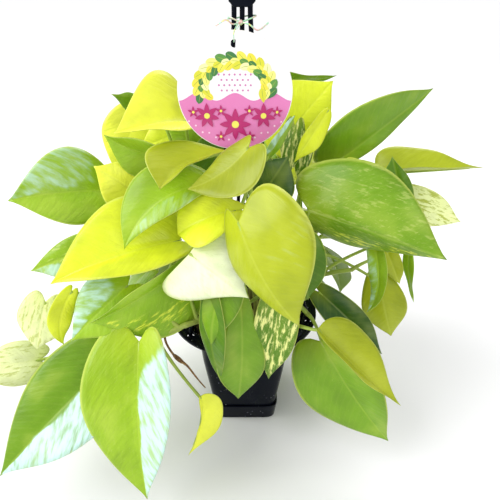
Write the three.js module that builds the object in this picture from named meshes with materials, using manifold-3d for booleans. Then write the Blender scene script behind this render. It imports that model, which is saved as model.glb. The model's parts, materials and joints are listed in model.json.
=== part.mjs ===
// Potted pothos in a square-bodied black hanging pot: pot, drip tray, soil, moulded hanger,
// label card with its tie, leafy stems and one dry aerial root.
// Millimetres, +Z up. The origin is the centre of the drip tray's foot, and the front looks to -Y.
import * as THREE from 'three';
import * as BufferGeometryUtils from 'three/addons/utils/BufferGeometryUtils.js';
import Module from 'manifold-3d';

const wasm = await Module();
wasm.setup();

// ---------------------------------------------------------------- driving dimensions (mm)
const FIT_GAP = 0.3;

// pot
const RIM_DIAMETER = 150;
const RIM_TOP = 129;
const RIM_THICKNESS = 3.6;
const FLANGE_WIDTH = 13.5;
const BODY_TOP = 100;
const BODY_TOP_WIDTH = 91;
const BODY_FOOT_WIDTH = 65.6;
const FOOT_SQUARENESS = 8;
const POT_WALL = 1.8;
const POT_FLOOR = 2.4;
const DRAIN_DIAMETER = 7;
const DRAIN_OFFSET = 17;

// drip tray
const TRAY_HEIGHT = 20;
const TRAY_FOOT_WIDTH = 68.4;
const TRAY_TOP_WIDTH = 72.8;
const TRAY_FLOOR = 2.6;
const TRAY_WALL = 1.6;

// soil
const SOIL_TOP = 116;
const SOIL_CROWN = 2;
const STEM_HOLE_RADIUS = 4.4;
const STEM_HOLE_FLOOR = 98;

// hanger
const STRAND_RADIUS = 1.9;
const STRAND_HOLE_RADIUS = 4;
const STRAND_HOLE_CENTRE_RADIUS = 68.5;
const STRAND_ANGLES = [221, 341, 101];
const KNOB_RADIUS = 4.4;
const KNOB_LENGTH = 7;
const BLOCK_WIDTH = 20.6;
const BLOCK_DEPTH = 8.4;
const BLOCK_BOTTOM = 411;
const BLOCK_HEIGHT = 25;
const STRAND_PITCH = 6.3;
const HOOK_ROD_RADIUS = 2.9;
const HOOK_RADIUS = 15;
const HOOK_CENTRE_Z = 463;

// label
const LABEL_DIAMETER = 92;
const LABEL_THICKNESS = 1;
const LABEL_CENTRE = [-6, -16, 350.6];
const LABEL_HOLE_RADIUS = 3;
const LABEL_HOLE_RISE = 36.4;
const TIE_WIDTH = 1.7;
const TIE_THICKNESS = 0.9;

// plant
const STEM_RADIUS = 3.1;
const PETIOLE_RADIUS = 1.7;
const ROOT_RADIUS = 1.1;
const BLADE_THICKNESS = 0.7;
const LARGE_LEAF_ROWS = 6;
const SMALL_LEAF_ROWS = 5;
const LEAST_LEAF_ROWS = 4;
const LARGE_LEAF_WIDTH = 40;
const NARROW_LEAF_WIDTH = 27;

// ---------------------------------------------------------------- materials
function plastic(colour, roughness) {
  return new THREE.MeshStandardMaterial({ color: colour, roughness, metalness: 0 });
}

const blackPlastic = plastic(0x0c0f16, 0.28);
const trayPlastic = plastic(0x0d1018, 0.3);
const soilMaterial = plastic(0x3a2a1e, 0.95);
const cardMaterial = plastic(0xf7b6d6, 0.5);
const tieMaterial = plastic(0xbfe8d8, 0.4);
const limeLeaf = plastic(0xd8ea3c, 0.42);
const greenLeaf = plastic(0x7db02c, 0.4);
const dryMaterial = plastic(0x6b4128, 0.85);

// ---------------------------------------------------------------- solid helpers
// A closed geometry, with its shared corners merged, as a solid for joins and cuts.
function solidOf(geometry) {
  const bare = geometry.clone();
  bare.deleteAttribute('normal');
  bare.deleteAttribute('uv');
  const merged = BufferGeometryUtils.mergeVertices(bare, 1e-4);
  return new wasm.Manifold(new wasm.Mesh({
    numProp: 3,
    vertProperties: new Float32Array(merged.attributes.position.array),
    triVerts: new Uint32Array(merged.index.array),
  }));
}

function geometryOf(solid) {
  const mesh = solid.getMesh();
  const geometry = new THREE.BufferGeometry();
  geometry.setAttribute('position', new THREE.BufferAttribute(mesh.vertProperties, 3));
  geometry.setIndex(new THREE.BufferAttribute(mesh.triVerts, 1));
  geometry.computeVertexNormals();
  return geometry;
}

function join(solids) {
  let whole = solids[0];
  for (const piece of solids.slice(1)) {
    whole = whole.add(piece);
  }
  return whole;
}

// Skin through a list of rings of points, closed by a fan at the first and at the last ring.
function loft(rings, firstCentre, lastCentre) {
  const points = [firstCentre, ...rings.flat(), lastCentre];
  const count = rings[0].length;
  const last = points.length - 1;
  const triangles = [];
  for (let i = 0; i < count; i += 1) {
    const j = (i + 1) % count;
    triangles.push(0, 1 + j, 1 + i);
    for (let r = 0; r + 1 < rings.length; r += 1) {
      const a = 1 + r * count;
      const b = a + count;
      triangles.push(a + i, a + j, b + j);
      triangles.push(a + i, b + j, b + i);
    }
    const top = 1 + (rings.length - 1) * count;
    triangles.push(last, top + i, top + j);
  }
  const geometry = new THREE.BufferGeometry();
  geometry.setAttribute('position', new THREE.Float32BufferAttribute(points.flat(), 3));
  geometry.setIndex(triangles);
  return geometry;
}

// Ring of a rounded square: exponent 2 is a circle, and a higher one is nearer to a square.
function roundedSquare(halfWidth, exponent, z, count = 24) {
  const ring = [];
  for (let i = 0; i < count; i += 1) {
    const angle = (i / count) * 2 * Math.PI;
    const c = Math.cos(angle);
    const s = Math.sin(angle);
    const reach = (Math.abs(c) ** exponent + Math.abs(s) ** exponent) ** (-1 / exponent);
    ring.push([halfWidth * reach * c, halfWidth * reach * s, z]);
  }
  return ring;
}

function cylinder(radius, height, x, y, zBottom, sides = 8) {
  const geometry = new THREE.CylinderGeometry(radius, radius, height, sides);
  geometry.rotateX(Math.PI / 2);
  geometry.translate(x, y, zBottom + height / 2);
  return solidOf(geometry);
}

// A rod along a curve, its section a regular polygon.
function rod(curve, radius, sides, steps) {
  const section = new THREE.Shape();
  section.moveTo(radius, 0);
  for (let i = 1; i < sides; i += 1) {
    const angle = (i / sides) * 2 * Math.PI;
    section.lineTo(radius * Math.cos(angle), radius * Math.sin(angle));
  }
  section.closePath();
  const options = { steps, extrudePath: curve, bevelEnabled: false };
  return solidOf(new THREE.ExtrudeGeometry(section, options));
}

function vector(p) {
  return new THREE.Vector3(p[0], p[1], p[2]);
}

function smoothPath(points, closed = false) {
  return new THREE.CatmullRomCurve3(points.map(vector), closed, 'centripetal');
}

// ---------------------------------------------------------------- pot, tray and soil
const rimHalf = RIM_DIAMETER / 2;
const bodyHalf = BODY_TOP_WIDTH / 2;
const footHalf = BODY_FOOT_WIDTH / 2;
const trayInside = TRAY_FLOOR + FIT_GAP;
const flangeInner = rimHalf - FLANGE_WIDTH;
const flangeUnder = RIM_TOP - RIM_THICKNESS;

// Outer wall from the foot to the rim: half width, squareness, height.
const OUTER_WALL = [
  [footHalf, FOOT_SQUARENESS, trayInside],
  [footHalf + 1.8, FOOT_SQUARENESS, TRAY_HEIGHT],
  [bodyHalf - 2.2, 7, BODY_TOP - 16],
  [bodyHalf, 5.6, BODY_TOP],
  [bodyHalf + 3.5, 3.8, BODY_TOP + 9],
  [bodyHalf + 9, 2.8, BODY_TOP + 17],
  [flangeInner + 0.6, 2.2, flangeUnder],
];

function makePot() {
  const rings = OUTER_WALL.map(([half, exponent, z]) => roundedSquare(half, exponent, z));
  rings.push(roundedSquare(rimHalf - 1, 2.1, flangeUnder));
  rings.push(roundedSquare(rimHalf, 2.1, flangeUnder + 1));
  rings.push(roundedSquare(rimHalf, 2.1, RIM_TOP - 0.8));
  rings.push(roundedSquare(rimHalf - 0.8, 2.1, RIM_TOP));
  rings.push(roundedSquare(flangeInner, 2.2, RIM_TOP));
  for (const [half, exponent, z] of OUTER_WALL.slice(1).reverse()) {
    rings.push(roundedSquare(half - POT_WALL, exponent, z - 0.6));
  }
  const floorTop = trayInside + POT_FLOOR;
  rings.push(roundedSquare(footHalf - POT_WALL, FOOT_SQUARENESS, floorTop));
  let pot = solidOf(loft(rings, [0, 0, trayInside], [0, 0, floorTop]));
  for (const angle of STRAND_ANGLES) {
    const [x, y] = strandFoot(angle);
    pot = pot.subtract(cylinder(STRAND_HOLE_RADIUS, 12, x, y, flangeUnder - 3));
  }
  for (const x of [-DRAIN_OFFSET, DRAIN_OFFSET]) {
    for (const y of [-DRAIN_OFFSET, DRAIN_OFFSET]) {
      pot = pot.subtract(cylinder(DRAIN_DIAMETER / 2, 10, x, y, 0));
    }
  }
  return geometryOf(pot);
}

function makeTray() {
  const foot = TRAY_FOOT_WIDTH / 2;
  const top = TRAY_TOP_WIDTH / 2;
  const rings = [
    roundedSquare(foot - 0.9, FOOT_SQUARENESS, 0),
    roundedSquare(foot, FOOT_SQUARENESS, 1.1),
    roundedSquare(top, FOOT_SQUARENESS, TRAY_HEIGHT - 0.8),
    roundedSquare(top - 0.6, FOOT_SQUARENESS, TRAY_HEIGHT),
    roundedSquare(top - TRAY_WALL + 0.3, FOOT_SQUARENESS, TRAY_HEIGHT),
    roundedSquare(foot - TRAY_WALL + 0.6, FOOT_SQUARENESS, TRAY_FLOOR),
  ];
  return geometryOf(solidOf(loft(rings, [0, 0, 0], [0, 0, TRAY_FLOOR])));
}

function makeSoil(stemRoots, dryRootFoot) {
  const rings = [];
  const floor = trayInside + POT_FLOOR + FIT_GAP;
  const clear = POT_WALL + FIT_GAP;
  rings.push(roundedSquare(footHalf - clear, FOOT_SQUARENESS, floor));
  for (const [half, exponent, z] of OUTER_WALL.slice(1)) {
    if (z < SOIL_TOP) {
      rings.push(roundedSquare(half - clear - 0.9, exponent, z - 0.6));
    }
  }
  rings.push(roundedSquare(bodyHalf + 6, 2.8, SOIL_TOP));
  rings.push(roundedSquare(bodyHalf - 8, 2.4, SOIL_TOP + SOIL_CROWN));
  let soil = solidOf(loft(rings, [0, 0, floor], [0, 0, SOIL_TOP + SOIL_CROWN]));
  const depth = SOIL_TOP + 10 - STEM_HOLE_FLOOR;
  for (const [x, y] of stemRoots) {
    soil = soil.subtract(cylinder(STEM_HOLE_RADIUS, depth, x, y, STEM_HOLE_FLOOR, 6));
  }
  const [x, y] = dryRootFoot;
  soil = soil.subtract(cylinder(ROOT_RADIUS + 1.6, depth, x, y, STEM_HOLE_FLOOR));
  return geometryOf(soil);
}

// ---------------------------------------------------------------- hanger
function strandFoot(angle) {
  const radians = THREE.MathUtils.degToRad(angle);
  const r = STRAND_HOLE_CENTRE_RADIUS;
  return [r * Math.cos(radians), r * Math.sin(radians)];
}

// The three strands leave the block side by side and bow out to the holes in the rim.
function makeHanger() {
  const starts = [-STRAND_PITCH, STRAND_PITCH, 0];
  const pieces = [];
  STRAND_ANGLES.forEach((angle, i) => {
    const [x, y] = strandFoot(angle);
    const knobTop = flangeUnder - FIT_GAP;
    const path = smoothPath([
      [starts[i], 0, BLOCK_BOTTOM + 4],
      [starts[i], 0, BLOCK_BOTTOM - 6],
      [starts[i] + (x - starts[i]) * 0.14, y * 0.2, 318],
      [starts[i] + (x - starts[i]) * 0.33, y * 0.39, 259],
      [x * 0.72 + starts[i] * 0.28, y * 0.73, 182],
      [0.95 * x, 0.95 * y, RIM_TOP + 13],
      [x, y, RIM_TOP + 3],
      [x, y, knobTop - KNOB_LENGTH / 2],
    ]);
    pieces.push(rod(path, STRAND_RADIUS, 6, 12));
    pieces.push(cylinder(KNOB_RADIUS, KNOB_LENGTH, x, y, knobTop - KNOB_LENGTH, 10));
  });

  const half = BLOCK_WIDTH / 2;
  const chamfer = 4;
  const outline = new THREE.Shape();
  outline.moveTo(-half + chamfer, 0);
  outline.lineTo(half - chamfer, 0);
  outline.lineTo(half, chamfer);
  outline.lineTo(half, BLOCK_HEIGHT - 3);
  outline.lineTo(half - 3, BLOCK_HEIGHT);
  outline.lineTo(-half + 3, BLOCK_HEIGHT);
  outline.lineTo(-half, BLOCK_HEIGHT - 3);
  outline.lineTo(-half, chamfer);
  outline.closePath();
  const block = new THREE.ExtrudeGeometry(outline, { depth: BLOCK_DEPTH, bevelEnabled: false });
  block.rotateX(Math.PI / 2);
  block.translate(0, BLOCK_DEPTH / 2, BLOCK_BOTTOM);
  pieces.push(solidOf(block));

  const points = [
    [0, 0, BLOCK_BOTTOM + BLOCK_HEIGHT - 4],
    [0, 0, HOOK_CENTRE_Z - HOOK_RADIUS - 6],
  ];
  for (let angle = -60; angle <= 190; angle += 25) {
    const radians = THREE.MathUtils.degToRad(angle);
    points.push([HOOK_RADIUS * Math.cos(radians), 0, HOOK_CENTRE_Z + HOOK_RADIUS * Math.sin(radians)]);
  }
  pieces.push(rod(smoothPath(points), HOOK_ROD_RADIUS, 8, 18));
  return geometryOf(join(pieces));
}

// ---------------------------------------------------------------- label card and its tie
function makeLabel() {
  const outline = new THREE.Shape();
  outline.absarc(0, 0, LABEL_DIAMETER / 2, 0, 2 * Math.PI, false);
  const hole = new THREE.Path();
  hole.absarc(0, LABEL_HOLE_RISE, LABEL_HOLE_RADIUS, 0, 2 * Math.PI, true);
  outline.holes.push(hole);
  const options = { depth: LABEL_THICKNESS, bevelEnabled: false, curveSegments: 15 };
  const card = new THREE.ExtrudeGeometry(outline, options);
  card.rotateX(Math.PI / 2);
  card.translate(LABEL_CENTRE[0], LABEL_CENTRE[1] + LABEL_THICKNESS / 2, LABEL_CENTRE[2]);
  return geometryOf(solidOf(card));
}

function makeTie() {
  const [holeX, cardY] = LABEL_CENTRE;
  const holeZ = LABEL_CENTRE[2] + LABEL_HOLE_RISE;
  const ribbon = (points, closed, steps) => {
    const section = new THREE.Shape();
    section.moveTo(-TIE_THICKNESS / 2, -TIE_WIDTH / 2);
    section.lineTo(TIE_THICKNESS / 2, -TIE_WIDTH / 2);
    section.lineTo(TIE_THICKNESS / 2, TIE_WIDTH / 2);
    section.lineTo(-TIE_THICKNESS / 2, TIE_WIDTH / 2);
    section.closePath();
    const path = smoothPath(points, closed);
    const options = { steps, extrudePath: path, bevelEnabled: false };
    return solidOf(new THREE.ExtrudeGeometry(section, options));
  };
  // Two cut ends of one ribbon meet in the knot in front of the strands.
  const knot = [-1, -9, 401];
  const loop = ribbon([
    knot,
    [-9, -6, 404],
    [-11.2, 0, 403],
    [-6, 4, 403],
    [0, 3.6, 404],
    [6, 3.4, 405],
    [11, 0, 405],
    [8, -6, 404],
    knot,
  ], false, 12);
  const front = ribbon([
    knot,
    [-3, -14.5, 400.5],
    [holeX, cardY - 4, holeZ + 8],
    [holeX, cardY - 3, holeZ + 2.2],
    [holeX, cardY, holeZ + 1.2],
    [holeX, cardY + 3, holeZ + 2.2],
    [holeX + 1, cardY + 4, holeZ + 7],
    knot,
  ], false, 10);
  const left = ribbon([knot, [-7, -12, 400], [-12, -14, 403], [-20, -13, 399]], false, 4);
  const right = ribbon([knot, [5, -12, 400], [12, -13, 396], [20, -12, 401]], false, 4);
  const bead = new THREE.SphereGeometry(2.4, 8, 6);
  bead.translate(knot[0], knot[1], knot[2]);
  return geometryOf(join([solidOf(bead), loop, front, left, right]));
}

// ---------------------------------------------------------------- leaf blades
// The way a blade faces: turn 0 looks to the front (-Y) and 90 to +X, and lift is upward.
function facing(turn, lift) {
  const t = THREE.MathUtils.degToRad(turn);
  const l = THREE.MathUtils.degToRad(lift);
  return vector([Math.sin(t) * Math.cos(l), -Math.cos(t) * Math.cos(l), Math.sin(l)]);
}

const LEAF_DEFAULTS = {
  fold: 8,
  bow: 5,
  sway: 0,
  twist: 0,
  back: 0.34,
  taper: 0.7,
  lean: 0,
  cup: -0.08,
  wave: 1.6,
  waves: 1.6,
  phase: 0,
};

function makeLeaf(base, tip, width, faces, shape = {}) {
  const leaf = { ...LEAF_DEFAULTS, ...shape, base: vector(base), tip: vector(tip), width };
  const along = leaf.tip.clone().sub(leaf.base);
  leaf.length = along.length();
  leaf.along = along.normalize();
  const face = facing(faces[0], faces[1]);
  face.addScaledVector(leaf.along, -face.dot(leaf.along)).normalize();
  leaf.face = face;
  leaf.side = face.clone().cross(leaf.along);
  return leaf;
}

// Point of the blade's middle surface: w runs from base to tip, v from one margin to the other.
function bladePoint(leaf, w, v) {
  const swell = w <= 0 || w >= 1 ? 0 : Math.max(Math.sin(Math.PI * w ** leaf.taper), 0);
  const half = 0.5 * leaf.width * swell ** (0.75 + 0.5 * w);
  const lobe = leaf.back * Math.sin(Math.PI * w ** 0.45) * (1 - w) ** 3;
  const across = Math.abs(v);
  const sign = Math.sign(v);
  const x = w - lobe * across ** 1.6;
  const y = half * across * (1 + leaf.lean * sign);
  const arch = 4 * x * (1 - x);
  const slope = 4 * (1 - 2 * x);
  const rib = leaf.base.clone().addScaledVector(leaf.along, leaf.length * x);
  rib.addScaledVector(leaf.face, leaf.bow * arch);
  rib.addScaledVector(leaf.side, leaf.sway * arch);
  const tangent = leaf.along.clone().multiplyScalar(leaf.length);
  tangent.addScaledVector(leaf.face, leaf.bow * slope);
  tangent.addScaledVector(leaf.side, leaf.sway * slope).normalize();
  const s1 = leaf.side.clone().addScaledVector(tangent, -leaf.side.dot(tangent)).normalize();
  const n1 = tangent.clone().cross(s1);
  const turn = THREE.MathUtils.degToRad(leaf.twist) * (x - 0.3);
  const s2 = s1.clone().multiplyScalar(Math.cos(turn)).addScaledVector(n1, Math.sin(turn));
  const n2 = tangent.clone().cross(s2);
  const fold = THREE.MathUtils.degToRad(leaf.fold);
  const cupped = leaf.cup * leaf.width * v * v * swell ** (0.75 + 0.5 * w);
  const turns = leaf.waves * w + leaf.phase + 0.25 * sign;
  const ripple = leaf.wave * v * v * Math.sin(2 * Math.PI * turns) * Math.sin(Math.PI * w);
  rib.addScaledVector(s2, y * sign * Math.cos(fold));
  rib.addScaledVector(n2, y * Math.sin(fold) + cupped + ripple);
  return rib;
}

function bladeNormal(leaf, w, v) {
  const wMid = Math.min(Math.max(w, 0.02), 0.98);
  const step = 0.01;
  const alongW = bladePoint(leaf, wMid + step, v).sub(bladePoint(leaf, wMid - step, v));
  const alongV = bladePoint(leaf, wMid, Math.min(v + step, 1));
  alongV.sub(bladePoint(leaf, wMid, Math.max(v - step, -1)));
  const normal = alongW.cross(alongV).normalize();
  return normal.dot(leaf.face) < 0 ? normal.negate() : normal;
}

// A blade of even thickness, split into triangles alike on both faces, with a wall at its margin.
function makeBlade(leaf) {
  const narrow = leaf.width < NARROW_LEAF_WIDTH;
  const wideRows = leaf.width < LARGE_LEAF_WIDTH ? SMALL_LEAF_ROWS : LARGE_LEAF_ROWS;
  const rows = narrow || leaf.hidden ? LEAST_LEAF_ROWS : wideRows;
  const cells = narrow ? 1 : 2;
  const columns = 2 * cells + 1;
  const points = [];
  const upper = [];
  const lower = [];
  for (let i = 0; i <= rows; i += 1) {
    const w = (i / rows) ** 1.6;
    const single = i === 0 || i === rows;
    upper.push([]);
    lower.push([]);
    for (let j = 0; j < columns; j += 1) {
      if (single && j > 0) {
        upper[i].push(upper[i][0]);
        lower[i].push(lower[i][0]);
        continue;
      }
      const v = single ? 0 : (j - cells) / cells;
      const middle = bladePoint(leaf, w, v);
      const normal = bladeNormal(leaf, w, v);
      const half = BLADE_THICKNESS / 2;
      upper[i].push(points.push(middle.clone().addScaledVector(normal, half)) - 1);
      lower[i].push(points.push(middle.clone().addScaledVector(normal, -half)) - 1);
    }
  }
  const triangles = [];
  const addTriangle = (a, b, c) => {
    if (a !== b && b !== c && c !== a) {
      triangles.push(a, b, c);
    }
  };
  for (let i = 0; i < rows; i += 1) {
    for (let j = 0; j + 1 < columns; j += 1) {
      const [a, b, c, d] = [[i, j], [i, j + 1], [i + 1, j + 1], [i + 1, j]];
      const corners = j < cells ? [[a, b, c], [a, c, d]] : [[a, b, d], [b, c, d]];
      for (const [p, q, r] of corners) {
        addTriangle(upper[p[0]][p[1]], upper[q[0]][q[1]], upper[r[0]][r[1]]);
        addTriangle(lower[p[0]][p[1]], lower[r[0]][r[1]], lower[q[0]][q[1]]);
      }
    }
    for (const j of [0, columns - 1]) {
      const [p, q] = j === 0 ? [i + 1, i] : [i, i + 1];
      addTriangle(upper[q][j], upper[p][j], lower[p][j]);
      addTriangle(upper[q][j], lower[p][j], lower[q][j]);
    }
  }
  const geometry = new THREE.BufferGeometry();
  geometry.setFromPoints(points);
  geometry.setIndex(triangles);
  let blade = solidOf(geometry);
  if (blade.volume() < 0) {
    for (let i = 0; i < triangles.length; i += 3) {
      [triangles[i], triangles[i + 1]] = [triangles[i + 1], triangles[i]];
    }
    geometry.setIndex(triangles);
    blade = solidOf(geometry);
  }
  return blade;
}

// The leaf stalk climbs from the stem and meets the blade at its base from behind.
function makePetiole(stemPoint, stemTangent, leaf) {
  const reach = leaf.base.distanceTo(stemPoint);
  const heading = leaf.base.clone().sub(stemPoint).normalize();
  const rise = heading.clone().multiplyScalar(0.6);
  rise.addScaledVector(stemTangent, 0.25);
  rise.z += 0.45;
  const arrive = heading.clone().multiplyScalar(0.6).addScaledVector(leaf.face, 0.4);
  const end = leaf.base.clone().addScaledVector(leaf.along, 1.2);
  const path = new THREE.CubicBezierCurve3(
    stemPoint,
    stemPoint.clone().addScaledVector(rise.normalize(), 0.35 * reach),
    leaf.base.clone().addScaledVector(arrive.normalize(), -0.3 * reach),
    end,
  );
  return rod(path, PETIOLE_RADIUS, 3, reach > 70 ? 4 : 3);
}

// A leafy stem: it stands in its soil hole, and its leaves follow one another along it.
function makeVine(vine) {
  const [x, y] = vine.root;
  const foot = STEM_HOLE_FLOOR + FIT_GAP;
  const points = [[x, y, foot], [x, y, SOIL_TOP - 6], [x, y, SOIL_TOP + 6], ...vine.stem];
  const path = smoothPath(points);
  const pieces = [rod(path, STEM_RADIUS, 5, 7)];
  vine.leaves.forEach((leaf, i) => {
    const share = leaf.at ?? 0.45 + (0.53 * (i + 1)) / vine.leaves.length;
    pieces.push(makePetiole(path.getPointAt(share), path.getTangentAt(share), leaf));
    pieces.push(makeBlade(leaf));
  });
  return geometryOf(join(pieces));
}

// ---------------------------------------------------------------- the vines that the front shows
// Each leaf: base, tip, width, the way it faces [turn, lift], and what differs from the defaults.
const VINES = [
  {
    name: 'vine_lime_upper_left',
    colour: limeLeaf,
    root: [-16, 14],
    stem: [[-22, 16, 150], [-35, 15, 190], [-47, 5, 222]],
    leaves: [
      makeLeaf([-58, 34, 305], [-97, 28, 292], 36, [4, 14], { bow: 3 }),
      makeLeaf([-50, 16, 320], [-105, -24, 320], 78, [36, 62],
        { fold: 37, bow: 3, taper: 0.5, back: 0.12, lean: -0.25 }),
      makeLeaf([-94, 2, 254], [-132, -6, 286], 50, [24, 15], { fold: 5, bow: 4 }),
      makeLeaf([-101, 47, 315], [-129, 42, 265], 52, [6, 2], { fold: 5, bow: 4 }),
      makeLeaf([-81, 26, 339], [-114, 16, 343], 24, [10, -39],
        { fold: 10, bow: 1, lean: 0.8, back: 0.1 }),
    ],
  },
  {
    name: 'vine_lime_front',
    colour: limeLeaf,
    root: [-6, -14],
    stem: [[-6, -16, 150], [-8, -20, 190], [-10, -24, 222]],
    leaves: [
      makeLeaf([-43.7, -70.7, 234], [5, -84.6, 199.2], 87, [-6, 40],
        { fold: -14, bow: 7, lean: 0.1, back: 0.33, taper: 0.4, twist: 4 }),
      makeLeaf([-6, -41, 259], [-56, -47, 239], 54, [5, 46],
        { fold: 30, bow: 8, sway: -1, lean: 0.09, taper: 1.3 }),
      makeLeaf([-13.6, -20.6, 303.8], [-63.8, -63.9, 287.4], 45, [-50, 6],
        { fold: 38, bow: 2, sway: -10, lean: -0.5, back: 0.05, taper: 1.5, twist: -15 }),
      makeLeaf([19.8, -26.7, 299.9], [42.7, -17.9, 333.7], 12, [42, 16],
        { fold: 19, bow: 6, sway: 4, lean: 0.19, back: 0.24, taper: 1.02, twist: 5 }),
    ],
  },
  {
    name: 'vine_lime_centre',
    colour: limeLeaf,
    root: [12, -20],
    stem: [[12, -24, 150], [8, -32, 190], [6, -36, 222]],
    leaves: [
      makeLeaf([-3, -85, 270], [45, -112, 192], 81, [-37, 13],
        { fold: -13, bow: 12, sway: 2, lean: 0.2, back: 0.37, taper: 0.64, twist: -8 }),
      makeLeaf([5, -42, 314], [-44, -55, 284], 50, [-6, 65],
        { fold: 11, bow: -4, sway: 3, lean: 0.29, back: 0.3, taper: 0.69, twist: -14 }),
    ],
  },
  {
    name: 'vine_lime_trailing_left',
    colour: limeLeaf,
    root: [-35, -12],
    stem: [[-44, -18, 146], [-66, -32, 162], [-92, -46, 158], [-116, -54, 142], [-134, -58, 122]],
    leaves: [
      makeLeaf([-56, -36, 227.5], [-161, -76, 207.5], 82, [3, 60],
        { fold: 28, bow: 8, back: 0.2, lean: -0.26 }),
      makeLeaf([-41, -84, 86], [-54, -103, 26], 34, [53, 0],
        { fold: 42, bow: 0, sway: 10, lean: 0.4, back: 0.09, taper: 0.74, twist: -12 }),
      makeLeaf([-148, -67, 195], [-161, -78, 144], 21, [14, -24],
        { fold: 6, bow: 6, sway: -7, lean: -0.03, back: 0.17, taper: 0.81, twist: -22 }),
      makeLeaf([-178, -58, 177], [-190, -72, 133], 42, [9, 15], { fold: 5 }),
      makeLeaf([-196, -62, 111], [-252, -80, 115], 42, [21, 39], { fold: 5 }),
    ],
  },
  {
    name: 'vine_lime_low_right',
    colour: limeLeaf,
    root: [22, -34],
    stem: [[26, -48, 146], [36, -62, 156], [44, -70, 158]],
    leaves: [
      makeLeaf([64, -87, 169], [137, -115, 107], 49, [66, 40],
        { fold: 37, bow: -1, sway: -3, lean: 0.36, back: 0.05, taper: 0.63, twist: -5 }),
    ],
  },
  {
    name: 'vine_lime_right',
    colour: limeLeaf,
    root: [20, 4],
    stem: [[28, 8, 150], [48, 10, 185], [72, 8, 215]],
    leaves: [
      makeLeaf([31, 34, 288], [79, 28, 352], 66, [-23, 12],
        { bow: 4, taper: 0.95, lean: 0.2, back: 0.15 }),
      makeLeaf([73, 6, 332], [45, 0, 287], 19, [-8, -28],
        { fold: 11, bow: 8, sway: -3, lean: 0.22, back: 0.08, taper: 0.85, twist: 3 }),
      makeLeaf([92, -9.4, 281.3], [133.4, -16.5, 274.2], 35, [-5, 3],
        { fold: 9, bow: 12, sway: -5, lean: 0.12, back: 0.29, taper: 0.74, twist: 13, at: 0.97 }),
      makeLeaf([127, 25, 268], [223, 15, 277], 60, [-58, 75],
        { fold: 42, bow: 4, sway: -7, lean: 0.01, back: 0.09, taper: 0.5, twist: -9 }),
      makeLeaf([137, 0, 162], [156, -12, 99], 46, [-9, 8], { fold: -5, taper: 0.95, at: 0.7 }),
      makeLeaf([141, 0, 197], [158, -4, 160], 20, [-5, 4], { fold: 15, bow: 4 }),
      makeLeaf([46, 16, 316], [40, 4, 272], 22, [-5, 16], { fold: 15, bow: 4, at: 0.8 }),
      makeLeaf([56, 14, 304], [50, 4, 268], 18, [-7, 17], { fold: 10, bow: 4, at: 0.88 }),
    ],
  },
  {
    name: 'vine_green_left',
    colour: greenLeaf,
    root: [-34, 4],
    stem: [[-42, 2, 148], [-64, -2, 180], [-86, -6, 202]],
    leaves: [
      makeLeaf([-124, 12, 255], [-203, -30, 263], 76, [33, 38],
        { fold: 18, bow: 6, sway: -1, lean: -0.11, back: 0.08, taper: 0.8 }),
      makeLeaf([-128, -30, 223], [-194, -40, 198], 38, [0, 22], { fold: 10, bow: 4, lean: 0.2 }),
      makeLeaf([-98, 24, 206], [-166, 42, 162], 56, [-70, 45], { fold: 10, bow: 8 }),
      makeLeaf([-98, 8, 168], [-142, 16, 92], 52, [-82, 20], { fold: 10, bow: 8 }),
    ],
  },
  {
    name: 'vine_green_upper_left',
    colour: greenLeaf,
    root: [-14, -1],
    stem: [[-16, 1, 150], [-22, 0, 190], [-28, -4, 225]],
    leaves: [
      makeLeaf([-32, -31, 279], [-99, -62, 233], 51, [-20, 47],
        { fold: 18, bow: 9, sway: -9, lean: -0.29, back: 0.15, taper: 0.79, twist: -14 }),
      makeLeaf([-19, 10, 290], [-53, 8, 288], 38, [4, 17], { bow: 3 }),
      makeLeaf([-36, 28, 290], [-72, 26, 318], 30, [13, 12], { fold: 10, bow: 4 }),
      makeLeaf([-58.4, 6.8, 291.1], [-119.9, -3.2, 313.2], 59, [-16, -26],
        { fold: 30, bow: 6, sway: 1, lean: -0.03, back: 0.36, taper: 0.82, twist: 8 }),
    ],
  },
  {
    name: 'vine_green_trailing_left',
    colour: greenLeaf,
    root: [-22, -34],
    stem: [[-26, -44, 149], [-44, -66, 160], [-68, -76, 156], [-92, -80, 142]],
    leaves: [
      makeLeaf([-51, -44, 209], [-128, -93, 180], 68, [35, -7], { fold: 32, bow: 6, lean: 0.5 }),
      makeLeaf([-101, -60, 196], [-147, -92, 160], 54, [5, 38], { fold: 10 }),
      makeLeaf([-88, -95, 162], [-84, -152, 32], 92, [-20, 22],
        { fold: 27, bow: 8, lean: -0.1, back: 0.22 }),
      makeLeaf([-116, -80, 131], [-217, -138, 44], 88, [-14, 43], { fold: 20, bow: 6 }),
    ],
  },
  {
    name: 'vine_green_front',
    colour: greenLeaf,
    root: [0, -36],
    stem: [[0, -44, 146], [0, -50, 168], [2, -50, 186]],
    leaves: [
      makeLeaf([-2, -72, 193], [-5, -88, 87], 44, [11, 12],
        { fold: 7, bow: 8, sway: 1, lean: -0.02, back: 0.3, taper: 1.43 }),
      makeLeaf([33, -70, 198], [23, -84, 108], 40, [-7, 10], { fold: 12, taper: 0.8 }),
      makeLeaf([-28.6, -77.2, 198.2], [-19.6, -91, 112.9], 27, [-21, 2],
        { fold: 20, sway: -2, lean: 0.32, back: 0.24, taper: 0.81, twist: 3 }),
      makeLeaf([-14.3, -68.1, 211.2], [-27.1, -92.2, 155.3], 36, [-11, 32],
        { fold: -4, bow: 7, sway: -2, lean: 0.14, back: 0.38, taper: 0.69, twist: -4 }),
    ],
  },
  {
    name: 'vine_green_low_right',
    colour: greenLeaf,
    root: [35, -14],
    stem: [[42, -24, 146], [52, -34, 156], [62, -42, 150]],
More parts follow.
